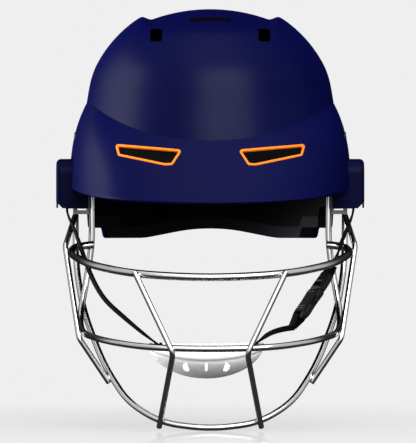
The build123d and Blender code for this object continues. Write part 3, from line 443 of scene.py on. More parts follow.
def grid_piece(name, points, uv=None, wrap=False, closed_rows=False):
    """A piece from a grid of points, row by row: wrap joins its last column to its first, and
    closed_rows joins its last row to its first. Rows that shrink to a point become a pole."""
    rows, columns = points.shape[:2]
    row_ids = np.arange(rows if closed_rows else rows - 1)
    column_ids = np.arange(columns if wrap else columns - 1)
    r, c = np.meshgrid(row_ids, column_ids, indexing="ij")
    r2, c2 = (r + 1) % rows, (c + 1) % columns
    r, r2 = r * columns, r2 * columns
    corners = np.stack([r + c, r + c2, r2 + c2, r2 + c], -1).reshape(-1, 4)
    mesh = bpy.data.meshes.new(name)
    mesh.from_pydata((points.reshape(-1, 3) * mm).tolist(), [], corners.tolist())
    if uv is not None:
        layer = mesh.uv_layers.new(name="UVMap")
        layer.data.foreach_set("uv", (uv.reshape(-1, 2)[corners] * mm).ravel())
    return closed(placed(name, mesh))


def closed(piece):
    """Merges a piece's doubles, so seams and poles close, and points its faces outwards."""
    work = bmesh.new()
    work.from_mesh(piece.data)
    bmesh.ops.remove_doubles(work, verts=work.verts, dist=2e-6)
    bmesh.ops.recalc_face_normals(work, faces=work.faces)
    work.to_mesh(piece.data)
    work.free()
    smoothed(piece.data)
    return piece


def joined(name, pieces):
    """Several pieces made into one mesh."""
    work = bmesh.new()
    for piece in pieces:
        work.from_mesh(piece.data)
        bpy.data.objects.remove(piece)
    mesh = bpy.data.meshes.new(name)
    work.to_mesh(mesh)
    work.free()
    smoothed(mesh)
    return placed(name, mesh)


def cut(piece, tool, operation="DIFFERENCE"):
    """Takes a closed tool out of a piece, or keeps what both share, and removes the tool."""
    opening = piece.modifiers.new("opening", "BOOLEAN")
    opening.object, opening.operation, opening.solver = tool, operation, "EXACT"
    mesh = applied(piece)
    bpy.data.objects.remove(tool)
    smoothed(mesh)
    return piece


def unit(vectors):
    """Vectors of length 1, along the last axis."""
    return vectors / np.maximum(np.linalg.norm(vectors, axis=-1, keepdims=True), 1e-12)


def smooth_curve(points, count, start=None, end=None):
    """A curve with even curvature through points: a cubic in chord length whose slopes solve
    h1 m0 + 2 (h0 + h1) m1 + h0 m2 = 3 (h1 d0 + h0 d1), clamped to the end slopes or free."""
    points = np.asarray(points, float)
    steps = np.linalg.norm(np.diff(points, axis=0), axis=1)
    slopes = np.diff(points, axis=0) / steps[:, None]
    n = len(points)
    system = np.zeros((n, n))
    known = np.zeros_like(points)
    inner = np.arange(1, n - 1)
    system[inner, inner - 1] = steps[1:]
    system[inner, inner] = 2 * (steps[:-1] + steps[1:])
    system[inner, inner + 1] = steps[:-1]
    known[1:-1] = 3 * (steps[1:, None] * slopes[:-1] + steps[:-1, None] * slopes[1:])
    for row, inward, value, slope in ((0, 1, start, slopes[0]), (-1, -2, end, slopes[-1])):
        system[row, row] = 1 if value is not None else 2
        system[row, inward] = 0 if value is not None else 1
        known[row] = value if value is not None else 3 * slope
    tangents = np.linalg.solve(system, known)
    knots = np.concatenate([[0], np.cumsum(steps)])
    at = np.linspace(0, knots[-1], count)
    i = np.clip(np.searchsorted(knots, at, side="right") - 1, 0, n - 2)
    t = ((at - knots[i]) / steps[i])[:, None]
    h = steps[i][:, None]
    return (
        (2 * t**3 - 3 * t**2 + 1) * points[i]
        + (t**3 - 2 * t**2 + t) * h * tangents[i]
        + (3 * t**2 - 2 * t**3) * points[i + 1]
        + (t**3 - t**2) * h * tangents[i + 1]
    )


def bent_line(corners, reaches, arc_steps=9):
    """Straight runs joined by arcs: at a corner the arc starts and ends its reach away, on a
    circle, drawn as a quadratic with the middle weight cos(half the turn)."""
    corners = np.asarray(corners, float)
    line = [corners[:1]]
    for i, reach in enumerate(reaches, start=1):
        before, after = unit(corners[i - 1] - corners[i]), unit(corners[i + 1] - corners[i])
        weight = math.sqrt(max(0.0, (1 - float(before @ after)) / 2))
        t = np.linspace(0, 1, arc_steps)[:, None]
        shares = np.hstack([(1 - t) ** 2, 2 * weight * t * (1 - t), t**2])
        ends = np.stack([corners[i] + reach * before, corners[i], corners[i] + reach * after])
        line.append(shares @ ends / shares.sum(1, keepdims=True))
    line.append(corners[-1:])
    return np.concatenate(line)


def arc_reaches(corners, radius):
    """How far before and after each corner an arc of a radius starts: radius tan(turn / 2)."""
    ways = [unit(b - a) for a, b in zip(corners, corners[1:])]
    return [radius * math.tan(math.acos(float(a @ b)) / 2) for a, b in zip(ways, ways[1:])]


def evenly(line, count):
    """The same line with count points at equal distances along it."""
    steps = np.concatenate([[0], np.cumsum(np.linalg.norm(np.diff(line, axis=0), axis=1))])
    at = np.linspace(0, steps[-1], count)
    return np.stack([np.interp(at, steps, line[:, k]) for k in range(line.shape[1])], -1)


def tube(name, line, diameter, sides=20, rounding=0.5):
    """A round bar: a circle carried along a line without twisting, its ends turned in by a
    quarter circle of rounding mm and closed."""
    tangents = unit(np.gradient(line, axis=0))
    normal = unit(np.cross(tangents[0], [0.3, 0.2, 0.93]))
    normals = []
    for tangent in tangents:
        normal = unit(normal - tangent * (normal @ tangent))
        normals.append(normal)
    normals = np.array(normals)
    sideways = np.cross(tangents, normals)
    turn = np.linspace(0, math.pi / 2, 5)
    along = rounding * (1 - np.cos(turn))[:, None]
    ends = diameter / 2 - rounding * (1 - np.sin(turn))
    start, end = line[:1] + tangents[:1] * along, line[-1:] - tangents[-1:] * along[::-1]
    centres = np.concatenate([line[:1], start, line[1:-1], end, line[-1:]])
    radii = np.concatenate([[0], ends, np.full(len(line) - 2, diameter / 2), ends[::-1], [0]])
    row = np.clip(np.arange(len(centres)) - len(turn), 0, len(line) - 1)
    angle = np.linspace(0, 2 * math.pi, sides, endpoint=False)[:, None, None]
    circle = np.cos(angle) * normals[row] + np.sin(angle) * sideways[row]
    points = centres + radii[:, None] * circle
    return grid_piece(name, np.swapaxes(points, 0, 1), wrap=True)


# Outer shell

shell = {"half": 100.5, "front": 120.6, "rear": 127.6, "wall": 2.8, "widest": 22.0, "rise": 138.5}
profile_shares = (
    (0.0, 1.0), (0.516, 0.898), (0.702, 0.789), (0.825, 0.674),
    (0.882, 0.592), (0.933, 0.424), (0.990, 0.152), (1.0, 0.0),
)
strip = {
    "top": 151.6, "long": 187.0, "cross": 129.0, "half": 45.0, "ridge": 51.9, "height": 2.9,
    "starts": 60, "fade": 30,
}
side_edge = (
    (-126.0, 16.0), (-29.0, 16.0), (-24.0, 0.0), (42.0, 0.0),
    (45.0, -14.7), (69.0, -14.7), (72.0, -22.6), (133.0, -22.6),
)
side_edge_reaches = (1.4, 1.4, 3.5, 2.0, 2.0, 2.0)
nape_wave = (
    (-90.0, -23.6), (-57.0, -23.6), (-14.0, -15.3), (14.0, -15.3), (57.0, -23.6), (90.0, -23.6),
)
nape_wave_reaches = (13.4, 13.4, 13.4, 13.4)
edge_step, front_columns, rear_columns, edge_margin = 2.2, 24, 44, 14


def dome_profile(inset, count=240):
    """The dome's half width against its height, from the top down to its widest level."""
    half, rise = shell["half"] - inset, shell["rise"] - inset
    places = [(half * a, shell["widest"] + rise * b) for a, b in profile_shares]
    return smooth_curve(places, count, start=(1, 0), end=(0, -1))


def dome_width(height, inset=0.0):
    """How wide the dome is to one side at each height."""
    line = dome_profile(inset)[::-1]
    return np.interp(height, line[:, 1], line[:, 0])


def on_dome(angle, width, height, inset=0.0):
    """Points of the dome at an angle from straight ahead: an ellipse in plan, longer behind."""
    half = shell["half"] - inset
    length = np.where(np.cos(angle) > 0, shell["front"] - inset, shell["rear"] - inset)
    x = width * np.sin(angle)
    y = -width * np.cos(angle) * length / half
    return np.stack(np.broadcast_arrays(x, y, height), -1)


def sunk_strip(points, inset=0.0, ridge_softness=1.2):
    """Points pulled in to the crown's strip: about an axis along X, the distance from it is at
    most the strip's arc, which climbs outside its half width. The smaller of the two is taken
    softly, min(a, b) = (a + b - sqrt((a - b)^2 + s^2)) / 2, so the ridges are rounded."""
    centre = strip["top"] - strip["long"]
    x, y, z = np.moveaxis(points, -1, 0)
    radius, half = strip["long"] - inset, strip["half"] + inset
    low = radius - strip["cross"] + math.sqrt(strip["cross"] ** 2 - half**2)
    slope = strip["height"] / (strip["ridge"] - strip["half"])
    inside = radius - strip["cross"] + np.sqrt(np.maximum(strip["cross"] ** 2 - x**2, half))
    outside = low + slope * (np.abs(x) - half)
    bend = np.abs(x) - half
    blend = np.clip(0.5 + bend / 4, 0, 1)
    crest = 0.5 * np.clip(1 - np.abs(bend) / 2, 0, 1) ** 2
    limit = inside * (1 - blend) + outside * blend + crest
    reach = np.hypot(y, z - centre)
    above = np.clip((z - strip["starts"]) / strip["fade"], 0, 1)
    gap = reach - limit
    pulled = (reach + limit - np.sqrt(gap**2 + ridge_softness**2 * above)) / 2
    pulled = np.where(z > strip["starts"], np.minimum(pulled, reach), reach)
    share = pulled / reach
    return np.stack([x, y * share, centre + (z - centre) * share], -1)


def nape_height(x):
    """The height of the wave in the lower edge behind, at each place across."""
    line = bent_line(nape_wave, nape_wave_reaches)
    return np.interp(x, line[:, 0], line[:, 1])


def edge_line(inset, lift=0.0):
    """The shell's lower edge as an angle from straight ahead and a height, for one side."""
    line = bent_line(side_edge, side_edge_reaches)
    counts = np.maximum(2, (np.linalg.norm(np.diff(line, axis=0), axis=1) / edge_step).astype(int))
    runs = [evenly(np.stack([a, b]), n)[:-1] for a, b, n in zip(line, line[1:], counts)]
    line = np.concatenate(runs + [line[-1:]])
    half = shell["half"] - inset
    length = np.where(line[:, 0] < 0, shell["front"] - inset, shell["rear"] - inset)
    keep = np.abs(line[:, 0]) < length - edge_margin
    angle = np.arccos(-line[keep, 0] / length[keep])
    front = np.linspace(0, angle[0], front_columns, endpoint=False)
    rear = np.linspace(angle[-1], math.pi, rear_columns)[1:]
    angle = np.concatenate([front, angle, rear])
    ends = [np.full(len(part), side_edge[row][1]) for part, row in ((front, 0), (rear, -1))]
    height = np.concatenate([ends[0], line[keep, 1], ends[1]])
    behind = angle > math.pi / 2
    height = np.where(behind, np.maximum(height, nape_height(half * np.sin(angle))), height)
    return angle, height + lift


def both_ways(angle, *fields):
    """A half turn's columns continued round the other side."""
    turned = [np.concatenate([angle, 2 * math.pi - angle[-2:0:-1]])]
    return turned + [np.concatenate([f, f[-2:0:-1]]) for f in fields]


def wall_rows(angle, foot, inset, dome_rows, side_rows, shoulder=26.0):
    """Rows of a dome wall from its pole down to a foot height: even steps along the profile to
    the shoulder, then straight down."""
    line = dome_profile(inset)
    line = line[line[:, 1] > shoulder]
    line = evenly(np.concatenate([line, [[dome_width(shoulder, inset), shoulder]]]), dome_rows)
    upper = on_dome(angle[None, :], line[:, :1], line[:, 1:] + 0 * angle[None, :], inset)
    share = np.linspace(0, 1, side_rows + 1)[1:, None]
    height = shoulder + (foot[None, :] - shoulder) * share
    lower = on_dome(angle[None, :] + 0 * height, dome_width(height, inset), height, inset)
    return np.concatenate([sunk_strip(upper, inset), lower])


def outer_shell():
    """The hard shell: outer wall from the crown's pole to the edge, a rounded rim, and the
    inner wall back to its pole, cut by the crown's slot and vents."""
    angle, foot = edge_line(0.0)
    angle, foot = both_ways(angle, foot)
    rim = 0.7
    outside = wall_rows(angle, foot + rim, 0.0, dome_rows=100, side_rows=16)
    inside = wall_rows(angle, foot + rim, shell["wall"], dome_rows=26, side_rows=5)
    outer_foot, inner_foot = outside[-1], inside[-1]
    turn = np.linspace(0, math.pi, 6)[1:-1, None, None]
    middle, reach = (outer_foot + inner_foot) / 2, (outer_foot - inner_foot) / 2
    nose = middle + reach * np.cos(turn) - np.array([0, 0, rim]) * np.sin(turn)
    points = np.concatenate([outside, nose, inside[::-1]])
    return grid_piece("shell_moulding", points, wrap=True)


# Openings in the crown

slot_size, slot_y, slot_corner = (31.0, 10.0), -59.0, 2.0
crown_vent_size, crown_vent_x, crown_vent_corner = (8.8, 10.0), 40.4, 1.6
crown_vent_z = {-1: 129.5, 1: 122.0}


def rounded_outline(width, height, radius, steps=6):
    """A rectangle's outline with round corners, in two columns."""
    turn = np.linspace(0, math.pi / 2, steps)
    corners = []
    for quarter, (sx, sy) in enumerate(((1, 1), (-1, 1), (-1, -1), (1, -1))):
        angle = turn + quarter * math.pi / 2
        centre = np.array([sx * (width / 2 - radius), sy * (height / 2 - radius)])
        corners.append(centre + radius * np.stack([np.cos(angle), np.sin(angle)], -1))
    return np.concatenate(corners)


def prism(name, outline, start, end, place):
    """A closed block: an outline at its start and its end, each closed at its middle. place
    turns outline and depth columns into points."""
    middle = outline.mean(0)[None, :] + 0 * outline
    rows = [(middle, start), (outline, start), (outline, end), (middle, end)]
    points = [place(o[:, 0], o[:, 1], np.full(len(o), float(depth))) for o, depth in rows]
    return grid_piece(name, np.stack(points), wrap=True)


def stack(x, y, z):
    """Points from their three coordinates."""
    return np.stack([x, y, z], -1)


def open_crown(piece):
    """Cuts the middle slot and the four small vents out of the shell."""
    outline = rounded_outline(*slot_size, slot_corner)
    cut(piece, prism("slot", outline, 60, 190, lambda u, v, d: stack(u, v + slot_y, d)))
    for facing, z in crown_vent_z.items():
        for side in (-1, 1):
            outline = rounded_outline(*crown_vent_size, crown_vent_corner)
            place = lambda u, v, d: stack(u + side * crown_vent_x, facing * d, v + z)
            cut(piece, prism("vent", outline, 10, 140, place))
    return piece


def shade_painted_openings(piece):
    """Paints shade on the cut walls of the crown's openings with the near-black vent finish, so
    the openings look dark inside: every face whose middle lies within an opening's outline is
    one of them."""
    mesh = piece.data
    x, y, z = (read(mesh.polygons, "center") / mm).T

    def within(across, up, size):
        return (np.abs(across) <= size[0] / 2 + 0.02) & (np.abs(up) <= size[1] / 2 + 0.02)

    dark = within(x, y - slot_y, slot_size) & (z > 100)
    for facing, level in crown_vent_z.items():
        behind = y * facing > 10
        dark |= within(np.abs(x) - crown_vent_x, z - level, crown_vent_size) & behind
    # The near-black finish on these walls is painted shade for the dark inside of the openings
    mesh.materials.append(FINISHES["vent_black"])
    mesh.polygons.foreach_set("material_index", dark.astype(np.int32))


# Peak

peak_size = {
    "half": 106.2, "front": 163.0, "rear_margin": 5.6, "power": 2.6, "wall": 2.6, "lip": 0.45,
    "crease": 50.0, "side_crease": 79.5, "tail": 44.0, "rim": 4.7, "rim_rise": 14.0, "gap": 0.12,
}
peak_side_angle, peak_tail_angle = 80.0, 106.0
vent_inner_x, vent_width, vent_bottom, vent_height = 20.4, 50.2, 31.4, 16.3
vent_shares = ((0.0, 0.724), (0.147, 0.02), (0.257, 0.0), (0.95, 0.454), (1.0, 1.0))
vent_corner, frame_width, frame_proud, insert_depth, insert_back = 1.8, 1.6, 0.5, 1.0, 2.4
frame_section = (
    (0.0, -2.2), (0.0, 0.1), (0.25, 0.42), (0.8, frame_proud), (1.35, 0.42), (frame_width, 0.1),
    (frame_width, -2.2),
)
wing_notch, wing_notch_middle, wing_notch_corner = (180.0, 100.0), (39.7, -12.3), 2.0


def plan_reach(half_width, length, power, angle):
    """How far a rounded plan reaches: (|sin/width|^p + |cos/length|^p) ^ (-1/p)."""
    across = np.abs(np.sin(angle) / half_width) ** power
    along = np.abs(np.cos(angle) / length) ** power
    return (across + along) ** (-1 / power)


def peak_levels(angle):
    """The heights of the peak's upper edge and of its rim at an angle from straight ahead."""
    turn = np.degrees(np.abs(angle))
    climb = peak_size["side_crease"] - peak_size["crease"]
    sideways = np.minimum(1, turn / peak_side_angle)
    top = peak_size["crease"] + climb * np.sin(np.pi / 2 * sideways) ** 2
    past = np.maximum(0, turn - peak_side_angle) / (peak_tail_angle - peak_side_angle)
    top = top - (peak_size["side_crease"] - peak_size["tail"]) * past**2
    return top, peak_size["rim"] + peak_size["rim_rise"] * np.sin(angle) ** 2


def peak_reach(angle, share):
    """How far out the peak's outer face is, its height, and the shell's reach behind it: the
    shell's own reach plus a spread that flares as share^1.15 ahead and bulges at the sides."""
    ahead = np.cos(angle)
    length = np.where(ahead > 0, shell["front"], shell["rear"]) / shell["half"]
    rim_length = np.where(ahead > 0, peak_size["front"], shell["rear"] + peak_size["rear_margin"])
    top, rim = peak_levels(angle)
    height = top + share * (rim - top)
    width, rim_width = dome_width(height), dome_width(rim)
    base = plan_reach(width, width * length, 2, angle)
    rim_base = plan_reach(rim_width, rim_width * length, 2, angle)
    start = peak_size["lip"] + peak_size["gap"]
    rim_reach = plan_reach(peak_size["half"], rim_length, peak_size["power"], angle)
    spread = rim_reach - rim_base - start
    share = np.clip(share, 0, 1)
    flare = ahead**2 * share**1.15 + (1 - ahead**2) * (1 - (1 - share) ** 4)
    return base + start + spread * flare, height, base


def peak_face(angle, share, out=0.0):
    """Points of the peak's outer face, moved outwards along its slope by out."""
    step = 0.002
    reach, height, _ = peak_reach(angle, share)
    before, high, _ = peak_reach(angle, np.maximum(share - step, 0))
    after, low, _ = peak_reach(angle, np.minimum(share + step, 1))
    slope = unit(np.stack([after - before, low - high], -1))
    reach, height = reach - slope[..., 1] * out, height + slope[..., 0] * out
    return np.stack([reach * np.sin(angle), -reach * np.cos(angle), height], -1)


def peak_moulding():
    """The peak as a closed wall: outer face, rounded rim and inner face, with its wings cut
    away above the ear guards."""
    rows, columns = 44, 281
    last = math.radians(peak_tail_angle)
    angle = np.linspace(-last, last, columns)[None, :]
    share = np.linspace(0, 1, rows)[:, None] ** 1.1
    outer = peak_face(angle, share)
    taper = np.minimum(1, share / 0.3) + 0 * angle
    wall = peak_size["lip"] + (peak_size["wall"] - peak_size["lip"]) * taper
    inner = peak_face(angle, share, -wall)
    _, _, base = peak_reach(angle, share + 0 * angle)
    reach = np.maximum(np.hypot(inner[..., 0], inner[..., 1]), base + peak_size["gap"])
    inner[..., 0], inner[..., 1] = reach * np.sin(angle), -reach * np.cos(angle)
    turn = np.linspace(0, math.pi, 7)[1:-1, None, None]
    middle, half = (outer[-1] + inner[-1]) / 2, (outer[-1] - inner[-1]) / 2
    down = unit(outer[-1] - outer[-2]) * 0.9
    nose = middle + half * np.cos(turn) + down * np.sin(turn)
    points = np.concatenate([outer, nose, inner[::-1]])
    piece = grid_piece("peak_moulding", points, closed_rows=True)
    capped(piece)
    block = rounded_outline(*wing_notch, wing_notch_corner) + wing_notch_middle
    cut(piece, prism("notch", block, -130, 130, lambda u, v, d: stack(d, u, v)))
    for side in (-1, 1):
        outline = vent_outline(side, -0.05)
        cut(piece, prism("vent", outline, -180, -60, lambda u, v, d: stack(u, d, v)))
    return piece


def capped(piece):
    """Closes a piece's open ends."""
    work = bmesh.new()
    work.from_mesh(piece.data)
    bmesh.ops.holes_fill(work, edges=[e for e in work.edges if e.is_boundary], sides=0)
    bmesh.ops.recalc_face_normals(work, faces=work.faces)
    work.to_mesh(piece.data)
    work.free()
    smoothed(piece.data)


def vent_outline(side, shrink, count=120):
    """A peak vent's outline seen from the front, with round corners, moved inwards by shrink."""
    places = np.array(vent_shares) * (vent_width, vent_height) + (vent_inner_x, vent_bottom)
    ways = unit(np.roll(places, -1, 0) - places)
    inward = np.stack([-ways[:, 1], ways[:, 0]], -1)
    before = np.roll(inward, 1, 0)
    places = places + (inward + before) * shrink / (1 + (inward * before).sum(1, keepdims=True))
    ring = np.concatenate([places[-1:], places, places[:2]])
    steps = 7
    reaches = arc_reaches(ring, max(vent_corner - shrink, 0.5))
    arcs = bent_line(ring, reaches, arc_steps=steps)[1 + steps : -1]
    whole = np.concatenate([arcs, arcs[:1]])[: steps * len(places) + 1]
    return evenly(whole, count + 1)[:-1] * (side, 1)


def on_peak(x, z, out):
    """Points of the peak's face seen at x and z from the front, moved outwards by out: the angle
    is halved in on until the face there is as far across as x."""
    low, high = np.zeros_like(x), np.full_like(x, 1.2)
    for _ in range(40):
        angle = (low + high) / 2
        top, rim = peak_levels(angle)
        share = np.clip((z - top) / (rim - top), 0, 1)
        wide = peak_reach(angle, share)[0] * np.sin(angle) > np.abs(x)
        low, high = np.where(wide, low, angle), np.where(wide, angle, high)
    angle = (low + high) / 2
    top, rim = peak_levels(angle)
    share = np.clip((z - top) / (rim - top), 0, 1)
    return peak_face(angle * np.sign(x), share, out)


def vent_trim(side, name):
    """The coloured frame of a vent: a rounded bead from inside the wall to just proud of it,
    carried round the vent's outline, and the dark panel set back inside it."""
    rows = []
    for shrink, out in frame_section:
        outline = vent_outline(side, shrink)
        rows.append(on_peak(outline[:, 0], outline[:, 1], out))
    bead = grid_piece(f"vent_frame_{name}_bead", np.stack(rows), wrap=True, closed_rows=True)
    dressed(bead, "helmet", "orange_trim", f"vent_frame_{name}")
    outline = vent_outline(side, frame_width + 0.05)
    middle = outline.mean(0)
    shares = np.linspace(0, 1, 12)[:, None, None]
    spread = middle + (outline - middle) * shares
    dish = -insert_depth - 0.5 * (1 - shares[..., 0] ** 2)
    front = on_peak(spread[..., 0], spread[..., 1], dish)
    back = on_peak(spread[..., 0], spread[..., 1], -insert_back + 0 * dish)
    rows = np.concatenate([front, back[::-1]])
    panel = grid_piece(f"vent_insert_{name}_panel", rows, wrap=True)
    dressed(panel, "helmet", "vent_black", f"vent_insert_{name}")


shell_piece = dressed(open_crown(outer_shell()), "helmet", "navy_shell", "outer_shell")
shade_painted_openings(shell_piece)
dressed(peak_moulding(), "helmet", "navy_peak", "peak")
vent_trim(1, "left")
vent_trim(-1, "right")


# Steel grille

bracket = {"outer": 103.3, "plate": 2.0, "tab": 91.3, "tab_top": 12.5, "bottom": -4.2}
bracket_middle = bracket["outer"] - bracket["plate"] / 2
grille_reach = (105.0, 151.0, 162.9)
leg_y, leg_foot_z, top_bar_end_z, hoop_end_y, side_rod_end_y = -33.0, -27.4, -27.0, -12.0, -20.0
bar_size = {"top": 5.8, "middle": 4.8, "hoop": 4.7, "rod": 4.1}
weld_sink = 0.3
top_bar_shares = (
    (0.967, 0.262, 0.177), (1.002, 0.437, 0.204), (0.865, 0.669, 0.254),
    (0.541, 0.921, 0.296), (0.0, 1.0, 0.314),
)
middle_bar_shares = (
    (0.888, 0.228, 0.332), (0.933, 0.298, 0.495), (0.914, 0.503, 0.571),
    (0.731, 0.775, 0.602), (0.438, 0.947, 0.627), (0.0, 0.997, 0.633),
)
hoop_shares = (
    (0.968, 0.106, 0.260), (0.910, 0.264, 0.470), (0.758, 0.444, 0.717),
    (0.581, 0.616, 0.884), (0.343, 0.722, 0.974), (0.0, 0.762, 1.0),
)
rod_weld_shares = {"side": (0.358, 0.507, 0.497), "front": (0.908, 0.966, 0.713)}
rod_bend_radius, rod_bend_reach, rod_overhang = 8.0, 4.5, 3.5


def whole_bar(ends, shares):
    """A bar's line from side to side: its corners, each rounded over 45 % of its shorter run."""
    reach = np.array(grille_reach) * (1, -1, -1)
    half = [np.array(end, float) for end in ends] + [reach * np.array(share) for share in shares]
    corners = np.array(half + [place * (-1, 1, 1) for place in half[-2::-1]])
    runs = np.linalg.norm(np.diff(corners, axis=0), axis=1)
    return evenly(bent_line(corners, 0.45 * np.minimum(runs[:-1], runs[1:])), 301)


def weld_lines():
    """The lines of the top bar, the middle bar and the hoop."""
    leg_x = bracket["tab"] + weld_sink - bar_size["middle"] / 2
    behind = (bar_size["top"] + bar_size["middle"]) / 2 - weld_sink
    top_end = (leg_x - bar_size["middle"] / 3, leg_y - behind, top_bar_end_z)
    legs = [(leg_x, leg_y, bracket["tab_top"]), (leg_x, leg_y, leg_foot_z)]
    hoop_end = (bracket_middle - weld_sink, hoop_end_y, bracket["bottom"])
    return {
        "top": whole_bar([top_end], top_bar_shares),
        "middle": whole_bar(legs, middle_bar_shares),
        "hoop": whole_bar([hoop_end], hoop_shares),
    }


def rod_line(lines, kind):
    """A rod on the +X side, laid outside the three bars and bent below the middle one."""
    places, ways, sizes = [], [], []
    for name, share in zip(("top", "middle", "hoop"), rod_weld_shares[kind]):
        half = lines[name][: len(lines[name]) // 2 + 1]
        here = int(np.argmax(half[:, 1] <= -share * grille_reach[1]))
        part = (half[here - 1, 1] + share * grille_reach[1]) / (half[here - 1, 1] - half[here, 1])
        places.append(half[here - 1] + part * (half[here] - half[here - 1]))
        ways.append(unit(half[here] - half[here - 1]))
        sizes.append((bar_size[name] + bar_size["rod"]) / 2 - weld_sink)
    welds = []
    for place, way, size, other in zip(places, ways, sizes, (1, 0, 1)):
        out = unit(np.cross(way, places[other] - place))
        welds.append(place + out * math.copysign(size, out[0] * place[0] + out[1] * place[1]))
    top, middle, foot = welds
    along = unit(middle - top)
    lower = middle + along * rod_bend_reach
    end = foot + unit(foot - lower) * rod_overhang
    if kind == "side":
        start = (bracket_middle, side_rod_end_y, bracket["bottom"] - bar_size["rod"] / 3)
        corners = [np.array(start), top - along * rod_bend_reach, lower, end]
    else:
        corners = [top - along * bar_size["rod"] / 2, lower, end]
    return evenly(bent_line(corners, arc_reaches(corners, rod_bend_radius)), 91)


def build_grille():
    """The three bars and the four rods."""
    lines = weld_lines()
    for name, node in (("top", "top_bar"), ("middle", "middle_bar"), ("hoop", "lower_hoop")):
        piece = tube(node + "_steel", lines[name], bar_size[name], sides=24)
        dressed(piece, "grille", "steel_bar", node)
    for kind in ("side", "front"):
        line = rod_line(lines, kind)
        for side, flip in (("left", 1), ("right", -1)):
            node = f"{kind}_rod_{side}"
            piece = tube(node + "_steel", line * (flip, 1, 1), bar_size["rod"], sides=20)
            dressed(piece, "grille", "steel_bar", node)


build_grille()


# Chin straps

webbing_size = (11.0, 1.6)
stud_place = np.array([107.9, -36.0, 5.5])
buckle_top, buckle_foot = np.array([87.6, -63.0, -49.6]), np.array([63.0, -78.0, -86.0])
buckle_turn, buckle_bar, buckle_length = -20.0, 2.4, 42.1
loop_length, loop_radius, loop_share = 9.0, 2.75, 0.85
right_strap_shares = (
    (0.003, 0.030, 0.065, 0), (0.061, 0.207, 0.165, 6), (0.179, 0.511, 0.340, 12),
    (0.314, 0.609, 0.555, 14), (0.489, 0.717, 0.733, 14), (0.697, 0.870, 0.850, 14),
)
left_strap_shares = (
    (0.010, 0.052, 0.118, 0), (0.213, 0.394, 0.344, 6), (0.660, 0.871, 0.688, 12),
)
gather_length, slack_zone, run_points, turn_window = 18, (-22.0, 0.0), 400, 25
stitch_height, stitch_x, stitch_cross, stitch_span = 1.68, 3.6, 2.6, 4.0
upper_stitches, lower_stitches, stud_hole_radius = -7.6, 4.8, 2.1
end_half, end_size, end_rounding = 5.4, (3.2, 5.2), 1.1
lug_place = (37.5, -3.0, -2.5)
cup_middle, cup_top = np.array([-3.0, -82.0, -97.5]), -97.5


def width_way(along, turn):
    """The way that webbing's width points: level with Y, turned about its run by turn degrees,
    a cos(turn) + (along x a) sin(turn)."""
    along = np.atleast_2d(along)
    across = unit(np.array([0.0, 1.0, 0.0]) - along * along[:, 1:2])
    turn = np.radians(np.broadcast_to(turn, len(along)))[:, None]
    return across * np.cos(turn) + np.cross(along, across) * np.sin(turn)


buckle_along = unit(buckle_foot - buckle_top)
buckle_across = width_way(buckle_along, buckle_turn)[0]
buckle_through = np.cross(buckle_along, buckle_across)


def in_buckle(x, y, z):
    """Points from the buckle's own frame: across it, through it and down it from its top."""
    x, y, z = (np.asarray(v, float)[..., None] for v in (x, y, z))
    return buckle_top + x * buckle_across + y * buckle_through + z * buckle_along


def ribbon(name, line, across, size=webbing_size, rounding=0.7, share=1.0):
    """Webbing: a flat section with round edges carried along a line, its width along across at
    each place and times share there, and its ends closed. U runs round the section and V along
    the line, in mm."""
    share = np.broadcast_to(share, len(line))[:, None, None]
    along = unit(np.gradient(line, axis=0))
    across = unit(across - along * (across * along).sum(1, keepdims=True))
    through = np.cross(along, across)
    outline = rounded_outline(*size, rounding, steps=4)
    width, thickness = outline[None, :, :1], outline[None, :, 1:]
    rows = line[:, None] + width * across[:, None] * share + thickness * through[:, None]
    ends = [0 * rows[:1] + line[0], rows, 0 * rows[:1] + line[-1]]
    run = np.concatenate([[0], np.cumsum(np.linalg.norm(np.diff(line, axis=0), axis=1))])
    run = np.concatenate([[0], run, run[-1:]])
    u = np.broadcast_to(outline[:, 0] + size[0] / 2, (len(run), len(outline)))
    uv = np.stack([u, np.broadcast_to(run[:, None], u.shape)], -1)
    return grid_piece(name, np.concatenate(ends), uv=uv, wrap=True)


def webbing_run(name, places, turns, ends=(1.0, 1.0)):
    """A strap through places, its width turned by turns between them, and gathered to a share of
    itself over the last gather_length before each end."""
    places = np.array(places)
    line = smooth_curve(places, run_points)
    knots = np.concatenate([[0], np.cumsum(np.linalg.norm(np.diff(places, axis=0), axis=1))])
    run = np.linspace(0, knots[-1], run_points)
    turn = np.pad(np.interp(run, knots, turns), turn_window // 2, mode="edge")
    turn = np.convolve(turn, np.ones(turn_window) / turn_window, mode="valid")
    near = [np.clip(1 - way / gather_length, 0, 1) for way in (run, run[::-1])]
    share = 1 - (1 - ends[0]) * near[0] - (1 - ends[1]) * near[1]
    return ribbon(name, line, width_way(unit(np.gradient(line, axis=0)), turn), share=share)


def buckle_loop(name, bar_z, facing):
    """Webbing that comes in at one side of the buckle's bar, goes round it and leaves beside
    itself: two runs, 1.6 mm apart at their far end, and an arc about the bar."""
    angle = np.radians(np.linspace(-104, 104, 25))
    y, z = loop_radius * np.sin(angle), bar_z - facing * loop_radius * np.cos(angle)
    far = bar_z + facing * loop_length
    y, z = np.concatenate([[-0.82], y, [0.82]]), np.concatenate([[far], z, [far]])
    line = evenly(in_buckle(0 * y, y, z), 70)
    return ribbon(name, line, np.broadcast_to(buckle_across, line.shape), share=loop_share)


def sewn_end(name, place, along):
    """The folded, sewn end that the cup's slot keeps: a short rounded block across the strap."""
    half = width_way(along, 0)[0] * end_half
    line = evenly(np.array([place - half, place + half]), 12) + along * webbing_size[1]
    return ribbon(name, line, np.broadcast_to(along, line.shape), end_size, end_rounding)


